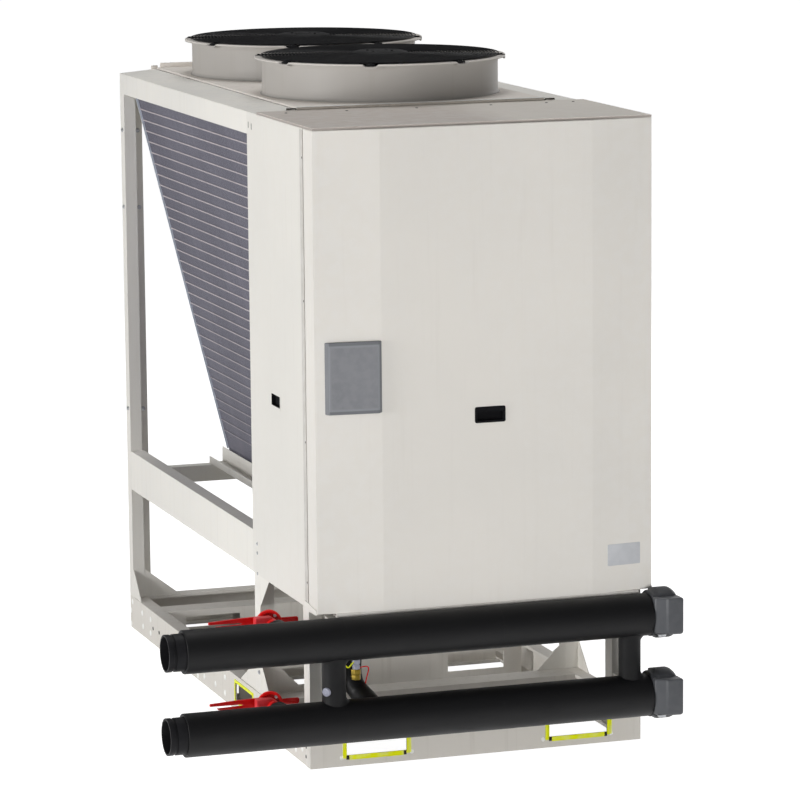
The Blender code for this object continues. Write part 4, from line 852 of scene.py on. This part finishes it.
for tag, z in LEVELS.items():
    back = facing((VALVE_X, INDEX_Y, z + VALVE_UP), (0, 1, 0))
    bm = bmesh.new()
    lathe(bm, index_plate, 96, back, 0.0008)
    for a in turns(20):
        drawn(bm, [(0.029, -0.0011), (0.0395, -0.0014), (0.0395, 0.0014), (0.029, 0.0011)], 0.003, 0.0048,
              turned(back, a), 0.0004, low=0.0)
    # its front: a rolled rim, a recess painted darker red as shade, and a row of dark marks painted as the
    # shade inside notches
    lathe(bm, index_rim, 96, back, 0.001)
    # painted shade: the recess ring in a darker red
    lathe(bm, [(0.023, 0.0006), (0.023, -0.0006), (0.0346, -0.0006), (0.0346, 0.0006)], 96, back, mat=1)
    # painted shade: dark marks in the notches
    for a in turns(26, pi / 26):
        drawn(bm, [(0.0275, -0.0009), (0.0312, -0.001), (0.0312, 0.001), (0.0275, 0.0009)], -0.0012,
              -0.0004, turned(back, a), mat=2)
    copy(bm, stop_screw, facing((VALVE_X + 0.0205, INDEX_Y - 0.0006, z + VALVE_UP + 0.0245), (0, -1, 0)), 3)
    drawn(bm, tail, 0.0003, 0.0047, back, 0.0011)
    drawn(bm, brace, -0.003, 0.001, back, 0.0008)
    finished("index_plate_" + tag, bm, [RED, RECESS_SHADE_RED, HOLE, ZINC], cad="valve_plate_" + tag)

    bm = bmesh.new()
    lathe(bm, lever_hub, 72, back, 0.001, 3)
    drawn(bm, arm, LEVER_LOW + 0.0006, LEVER_HIGH - 0.0006, back, 0.0016, steps=3)
    drawn(bm, arm_rib, LEVER_HIGH - 0.001, LEVER_HIGH - 0.0001, back, 0.0004, low=0.0)
    finished("valve_arm_" + tag, bm, RED, "lever_" + tag, cad="valve_lever_" + tag)


# Riser: an insulated pipe from the lower header up behind the left branch
def curve_through(points, each=8):
    """Points on a smooth curve through these."""
    points = [Vector(p) for p in points]
    made = []
    for i, (p1, p2) in enumerate(zip(points, points[1:])):
        p0 = points[max(i - 1, 0)]
        p3 = points[min(i + 2, len(points) - 1)]
        for t in (k / each for k in range(each)):
            made.append(0.5 * (2 * p1 + (p2 - p0) * t + (2 * p0 - 5 * p1 + 4 * p2 - p3) * t * t
                               + (3 * p1 - p0 - 3 * p2 + p3) * t ** 3))
    made.append(points[-1])
    return made


riser = curve_through([(x, HEADER_Y + y, z) for x, y, z in (
    (0.186, 0.04, 0.188), (0.181, 0.068, 0.206), (0.177, 0.105, 0.22), (0.167, 0.14, 0.237),
    (0.153, 0.162, 0.264), (0.149, 0.173, 0.299), (0.149, 0.173, 0.339), (0.148, 0.162, 0.384),
    (0.148, 0.13, 0.424), (0.148, 0.085, 0.444), (0.148, 0.045, 0.45))])
bm = bmesh.new()
swept(bm, riser, [0.0336 + 0.0065 * max(0.0, 1 - i / 26) for i in range(len(riser))], 56)
finished("riser_hose", bm, FOAM, smooth=60, cad="supply_riser")

# Brass fitting on the front of the riser, with its small clear cap, its bonding link and its sense tube
FITTING = Vector((0.152, HEADER_Y + 0.13, 0.284))
stand = Matrix.Translation(FITTING)
bm = bmesh.new()
drawn(bm, on_circle(0.015, 6), 0.0, 0.016, stand, 0.0012)
drawn(bm, on_circle(0.0165, 6), 0.0175, 0.034, stand, 0.0012, low=0.0008)
lathe(bm, [(AXIS, 0.015), (0.0115, 0.015), (0.0115, 0.036), (AXIS, 0.036)], 40, stand, 0.0006)
lathe(bm, [(AXIS, 0.035), (0.0125, 0.035), (0.0125, 0.046), (0.0108, 0.047), (0.0108, 0.052), (0.0128, 0.053),
           (0.0128, 0.065), (AXIS, 0.0658)], 40, stand, 0.0012, 3, mat=1)
lathe(bm, [(AXIS, 0.0), (0.0078, 0.0), (0.0078, 0.046), (AXIS, 0.046)], 32,
      facing(FITTING + Vector((0, 0, 0.017)), (0, 1, 0)), 0.0006)
finished("relief_fitting", bm, [BRASS, BLUE], cad="brass_fitting")
for name, mat, slot, radius, points in (
        ("bonding_link", YELLOW, "brass", 0.0024,
         [(0.062, -0.115, 0.352), (0.084, -0.07, 0.347), (0.107, -0.03, 0.339), (0.12, -0.026, 0.329),
          (0.13, -0.022, 0.335), (0.146, -0.014, 0.346)]),
        ("sense_tube", RED, "red_paint", 0.002,
         [(0.16, -0.012, 0.322), (0.186, -0.004, 0.323), (0.197, 0.0, 0.314), (0.19, 0.0, 0.285),
          (0.183, 0.0, 0.258), (0.174, 0.004, 0.236)])):
    bm = bmesh.new()
    swept(bm, curve_through(points, 5), radius, 8)
    finished(name, bm, mat)


# Flush pulls: a rounded rim, a cup and a finger lip
def scaled(outline, by_x, by_y, lower=0.0):
    return [Vector((p.x * by_x, p.y * by_y - lower)) for p in outline]


def pull(side, at, normal, rim_paint, mouth_w=0.0455, mouth_h=0.0188, low=0.0, proud=0.2):
    bm = bmesh.new()
    place = facing(at, normal)
    half_w, half_h, rim, face = 0.0473, 0.0218, 0.004, 0.0003
    outer = box_outline(half_w + rim, half_h + rim, 0.007, 5)
    sill, head = -mouth_h - low / 2 + 0.001, mouth_h - low * 1.6
    mouth = rounded([(-mouth_w, sill), (mouth_w, sill), (mouth_w, head), (-mouth_w, head)], 0.004, 5)
    wall = box_outline(half_w, half_h, 0.001, 5)
    levels = [(wall, -0.0155), (wall, face), (outer, face), (outer, face + 0.0021 * proud),
              (scaled(outer, 0.985, 0.965), face + 0.0035 * proud),
              (scaled(mouth, 1.018, 1.03), face + 0.0036 * proud), (mouth, face + 0.0023 * proud),
              (scaled(mouth, 0.97, 0.94, 0.0004), -0.0122)]
    rings = [[bm.verts.new(place @ Vector((p.x, p.y, h))) for p in pts] for pts, h in levels]
    loft(bm, rings[:6], ends=(0,))
    loft(bm, rings[5:], 1, ends=(-1,))
    finished("finger_pull_" + side, bm, [rim_paint, BLACK], smooth=40,
             cad="handle_" + side)


DOOR_FRONT = -0.116
pull("front", (0.5725, DOOR_FRONT, 1.132), (0, -1, 0), BLACK, 0.0443, 0.0171, 0.0047, 1.0)
pull("left", (0, 0.33, 1.141), (-1, 0, 0), CABINET)
pull("right", (UNIT_W, 0.33, 1.141), (1, 0, 0), CABINET)

# Fasteners
LEFT, RIGHT, FRONT, UP = (-1, 0, 0), (1, 0, 0), (0, -1, 0), (0, 0, 1)
ROOF_Z1 = node_box("roof_front")[1].z


def on_sides(places):
    """The same places (y, z) on the left and right side planes."""
    return [((x, y, z), normal) for x, normal in ((0.0, LEFT), (UNIT_W, RIGHT)) for y, z in places]


def scatter(name, part, spots, mat):
    bm = bmesh.new()
    for at, normal in spots:
        copy(bm, part, facing(at, normal))
    finished(name, bm, mat)


hexagon = screw_part(0.0062, 0.0055)
scatter("roof_screws", rivet_part(0.0048, 0.0016),
        [((x, 0.425, ROOF_Z1), UP) for x in (0.076, 0.281, 0.519, 0.775, 0.968, 1.062)],
        HOLE)
scatter("door_screws", rivet_part(0.0042, 0.0012),
        on_sides([(0.01, z) for z in (1.958, 1.507, 1.058, 0.607)]), HOLE)
scatter("side_panel_screws", rivet_part(0.006, 0.0022),
        on_sides([(0.569, z) for z in (0.627, 0.596, 0.527)]), ZINC)
scatter("post_bolts", hexagon,
        [((x, UNIT_L - 0.004, z), FRONT) for x in (0.062, UNIT_W - 0.062) for z in (0.815, 1.56, 1.842)]
        + on_sides([(2.222, z) for z in (0.824, 1.567, 1.847)]), ZINC)
scatter("rail_plugs", rivet_part(0.0105, 0.002),
        on_sides([(2.216, 0.1), (2.08, 0.085), (2.07, 0.037), (1.962, 0.085), (1.965, 0.034), (1.245, 0.03),
                  (1.105, 0.035), (0.983, 0.085), (0.986, 0.03), (0.161, 0.03), (0.089, 0.048),
                  (2.2385, 0.063), (2.239, 0.013), (1.33, 0.014)]), PLUG)
# painted shade: dark discs stand for the shade inside the rails' holes
scatter("rail_hole_shade_discs", rivet_part(0.0072, 0.001),
        on_sides([(1.93, 0.058), (1.846, 0.06), (0.047, 0.063), (0.049, 0.031)]), HOLE)
scatter("foot_bolts", hexagon, [((node_box("post_mid_left")[0].x, 0.575, 0.192), LEFT),
                                ((node_box("post_mid_right")[1].x, 0.575, 0.192), RIGHT)], ZINC)


# Thin trim: joint strips of the front panel painted dark as shade, hinge brackets of the front panel, pocket
# sills, roof edges with dark strips painted as the shade in their gaps and a white strip painted as a
# highlight, a door hem painted dark as shade, a bare plate
def blocks(name, corners, mat, edge):
    """A piece of eased blocks, each between its two corners."""
    bm = bmesh.new()
    for lo, hi in corners:
        slab(bm, lo, hi, edge)
    finished(name, bm, mat)


# painted shade: darker strips on the recessed joint at the panel's front edge
blocks("joint_shade_strips", [((x0, 0.002, 0.53), (x0 + 0.0006, 0.0345, 2.046)) for x0 in (-0.0006, UNIT_W)],
       JOINT_SHADE, 0.0002)

bm = bmesh.new()
SIDE_VIEW = Matrix(((0, 0, 1, 0), (1, 0, 0, 0), (0, 1, 0, 0), (0, 0, 0, 1)))
bracket = rounded([(0.034, 0.546), (-0.088, 0.535), (-0.095, 0.52), (0.057, 0.515)], 0.004, 3)
for x0, x1 in ((-0.0032, -0.0008), (UNIT_W + 0.0008, UNIT_W + 0.0032)):
    drawn(bm, bracket, x0, x1, SIDE_VIEW, 0.0005)
finished("hinge_brackets", bm, FRAME)

bm = bmesh.new()
for x0 in (0.128, 0.819):
    slab(bm, (x0, -0.0052, 0.0215), (x0 + 0.183, -0.0022, 0.037), 0.0006)
    for x in (x0 - 0.0095, x0 + 0.1835):
        slab(bm, (x, -0.0052, 0.0225), (x + 0.009, -0.0022, 0.036), 0.0006, 1)
    for x, wide in ((x0 - 0.0108, 0.0032), (x0 + 0.2038, 0.0056)):
        slab(bm, (x, -0.0034, 0.028), (x + wide, 0.0, 0.104), 0.0006)
finished("pocket_sills", bm, [YELLOW, HOLE])
scatter("beam_plugs", rivet_part(0.0072, 0.0016),
        [((x, 0.0, 0.029), FRONT) for x in (0.104, 0.34, 0.79, 1.026)], PLUG)

# painted shade: dark strips where the gaps at the verges, at the deck's front slots and on the side panels
# near the top fall into shade
bm = bmesh.new()
VERGE_X = node_box("fan_deck_front")[0].x
for x0 in (VERGE_X - 0.0046, UNIT_W - VERGE_X + 0.0004):
    slab(bm, (x0, 0.512, 2.056), (x0 + 0.0042, 2.246, 2.0612), 0.0006)
for x in (0.102, 0.995):
    slab(bm, (x, 0.5055, 2.06), (x + 0.033, 0.5092, 2.066), 0.0004)
for (x, y, z), _ in on_sides([(0.598, 2.009), (0.564, 2.006)]):
    slab(bm, (x - 0.0006, y - 0.0022, z - 0.01), (x + 0.0006, y + 0.0022, z + 0.01), 0.0002)
finished("roof_gap_shade_strips", bm, GAP_SHADE_DARK)

LID_Z = max(ROOF_Z1, DECK_Z1)
DOOR_LOW = node_box("front_panel")[0].z
blocks("deck_upstand", [((0.151, 2.239, DECK_Z1 - 0.0002), (0.979, 2.2465, DECK_Z1 + 0.0165))]
       + [((x, 2.237, 2.056), (x + 0.023, 2.247, DECK_Z1 + 0.008)) for x in (0.117, 0.99)],
       DECK, 0.001)
# painted highlight: a white strip along the deck's front edge
blocks("deck_front_highlight_strip", [((0.137, 0.502, LID_Z + 0.0002), (0.993, 0.52, LID_Z + 0.0016))], PLUG, 0.0004)
# painted shade: a dark hem under the door where the gap falls into shade
blocks("door_hem_shade", [((0.06, DOOR_FRONT + 0.006, DOOR_LOW - 0.012),
                     (1.08, DOOR_FRONT + 0.05, DOOR_LOW + 0.002))], JOINT_SHADE, 0.001)
blocks("beam_end_plates", [((x0, 0.0, 0.0), (x0 + 0.0008, 0.05, 0.119))
                           for x0 in (-0.0006, UNIT_W - 0.0002)], FRAME, 0.0002)

bm = bmesh.new()
drawn(bm, box_outline(0.0585, 0.035, 0.004), -0.0004, 0.0008,
      facing((1.0305, -0.1052, 0.646), (0.0999, -0.995, 0)), 0.0003)
finished("bare_plate", bm, PLATE)

# the coils' feet go on down between the webs of the pan
bm = bmesh.new()
coil_lo, coil_hi = node_box("coil_left")
FRONT_VIEW = Matrix(((1, 0, 0, 0), (0, 0, 1, 0), (0, 1, 0, 0), (0, 0, 0, 1)))
coil_foot = [(0.3662, 0.6612), (0.4222, 0.6745), (0.433, 0.632), (0.3775, 0.618)]
for outline in (coil_foot, [(UNIT_W - x, z) for x, z in coil_foot]):
    drawn(bm, outline, coil_lo.y + 0.001, coil_hi.y - 0.001, FRONT_VIEW, 0.0008)
finished("coil_feet", bm, COIL)

# Light: a bright horizon and a dim zenith, white where the camera or a reflection meets the sky
world = bpy.data.worlds.new("studio")
world.use_nodes = True
bpy.context.scene.world = world
tree = world.node_tree
tree.nodes.clear()
rays = put(tree, "LightPath").outputs
seen = maths(tree, "MAXIMUM", rays["Is Camera Ray"], rays["Is Transmission Ray"])
direction = put(tree, "SeparateXYZ", {0: put(tree, "TexCoord").outputs["Generated"]}).outputs
height = maths(tree, "ABSOLUTE", direction["Z"])
sky = span(tree, height, 0.0, 1.0, 0.3, 0.12)
shine = span(tree, height, 0.0, 0.8, 0.32, 0.18)
strength = maths(tree, "MULTIPLY_ADD", rays["Is Glossy Ray"], minus(tree, shine, sky), sky)
strength = maths(tree, "MAXIMUM", strength, seen)
back = put(tree, "Background", {"Color": (1, 1, 1, 1), "Strength": strength})
tree.links.new(back.outputs[0], put(tree, "OutputWorld").inputs[0])


def soft_lamp(name, at, target, size, watts, reflects=True):
    lamp = bpy.data.lights.new(name, "AREA")
    lamp.shape = "RECTANGLE"
    lamp.size, lamp.size_y = size
    lamp.energy = watts
    holder = added(name, lamp)
    holder.matrix_world = facing(spot(*at), Vector(at) - Vector(target))
    holder.visible_glossy = reflects


soft_lamp("key_left", (-7.9, -0.8, 1.9), (0.5, 0.6, 0.9), (3, 3), 505)
soft_lamp("fill_front", (1.5, -9.0, 0.9), (0.6, 0.2, 0.8), (3, 2), 440, reflects=False)
soft_lamp("rim_back_right", (7.0, 6.5, 3.0), (0.6, 1.2, 1.2), (5, 4), 110)
soft_lamp("top_soft", (1.5, 3.0, 8.5), (0.6, 1.2, 2.0), (5, 5), 222)

# Floor: pale, lit plainly, and white to the camera where no shadow falls
bm = bmesh.new()
loft(bm, [[bm.verts.new((*p, 0.0)) for p in on_circle(r, 96)]
          for r in (0.001, 1.001, 3.001, 8.001, 20.001, 60.001)], ends=(0,))
mesh = bpy.data.meshes.new("floor")
bm.to_mesh(mesh)
bm.free()
FLOOR, tree, shader = surface("pale_floor", rough=0.9, specular=0.0)
on_floor = put(tree, "TexCoord").outputs["Object"]
grit = span(tree, noise(tree, on_floor, 30.0, 3.0), 0.3, 0.7)
tint(tree, shader, blend_of(tree, grit, (0.54, 0.54, 0.54, 1), (0.56, 0.56, 0.56, 1)))
rays = put(tree, "LightPath").outputs
# a reflection sees it white near the object and dimmer farther off
reach = put(tree, "VectorMath", {0: on_floor}, operation="LENGTH").outputs["Value"]
near = times(tree, rays["Is Glossy Ray"], span(tree, reach, 1.5, 2.8, 1.0, 0.4))
seen = maths(tree, "MAXIMUM", near, rays["Is Transmission Ray"])
seen = maths(tree, "MAXIMUM", rays["Is Camera Ray"], seen)
shader.inputs["Emission Color"].default_value = (1, 1, 1, 1)
tree.links.new(times(tree, seen, 0.92), shader.inputs["Emission Strength"])
mesh.materials.append(FLOOR)
floor = added("floor", mesh)
floor.location = (0, 0, -0.0006)
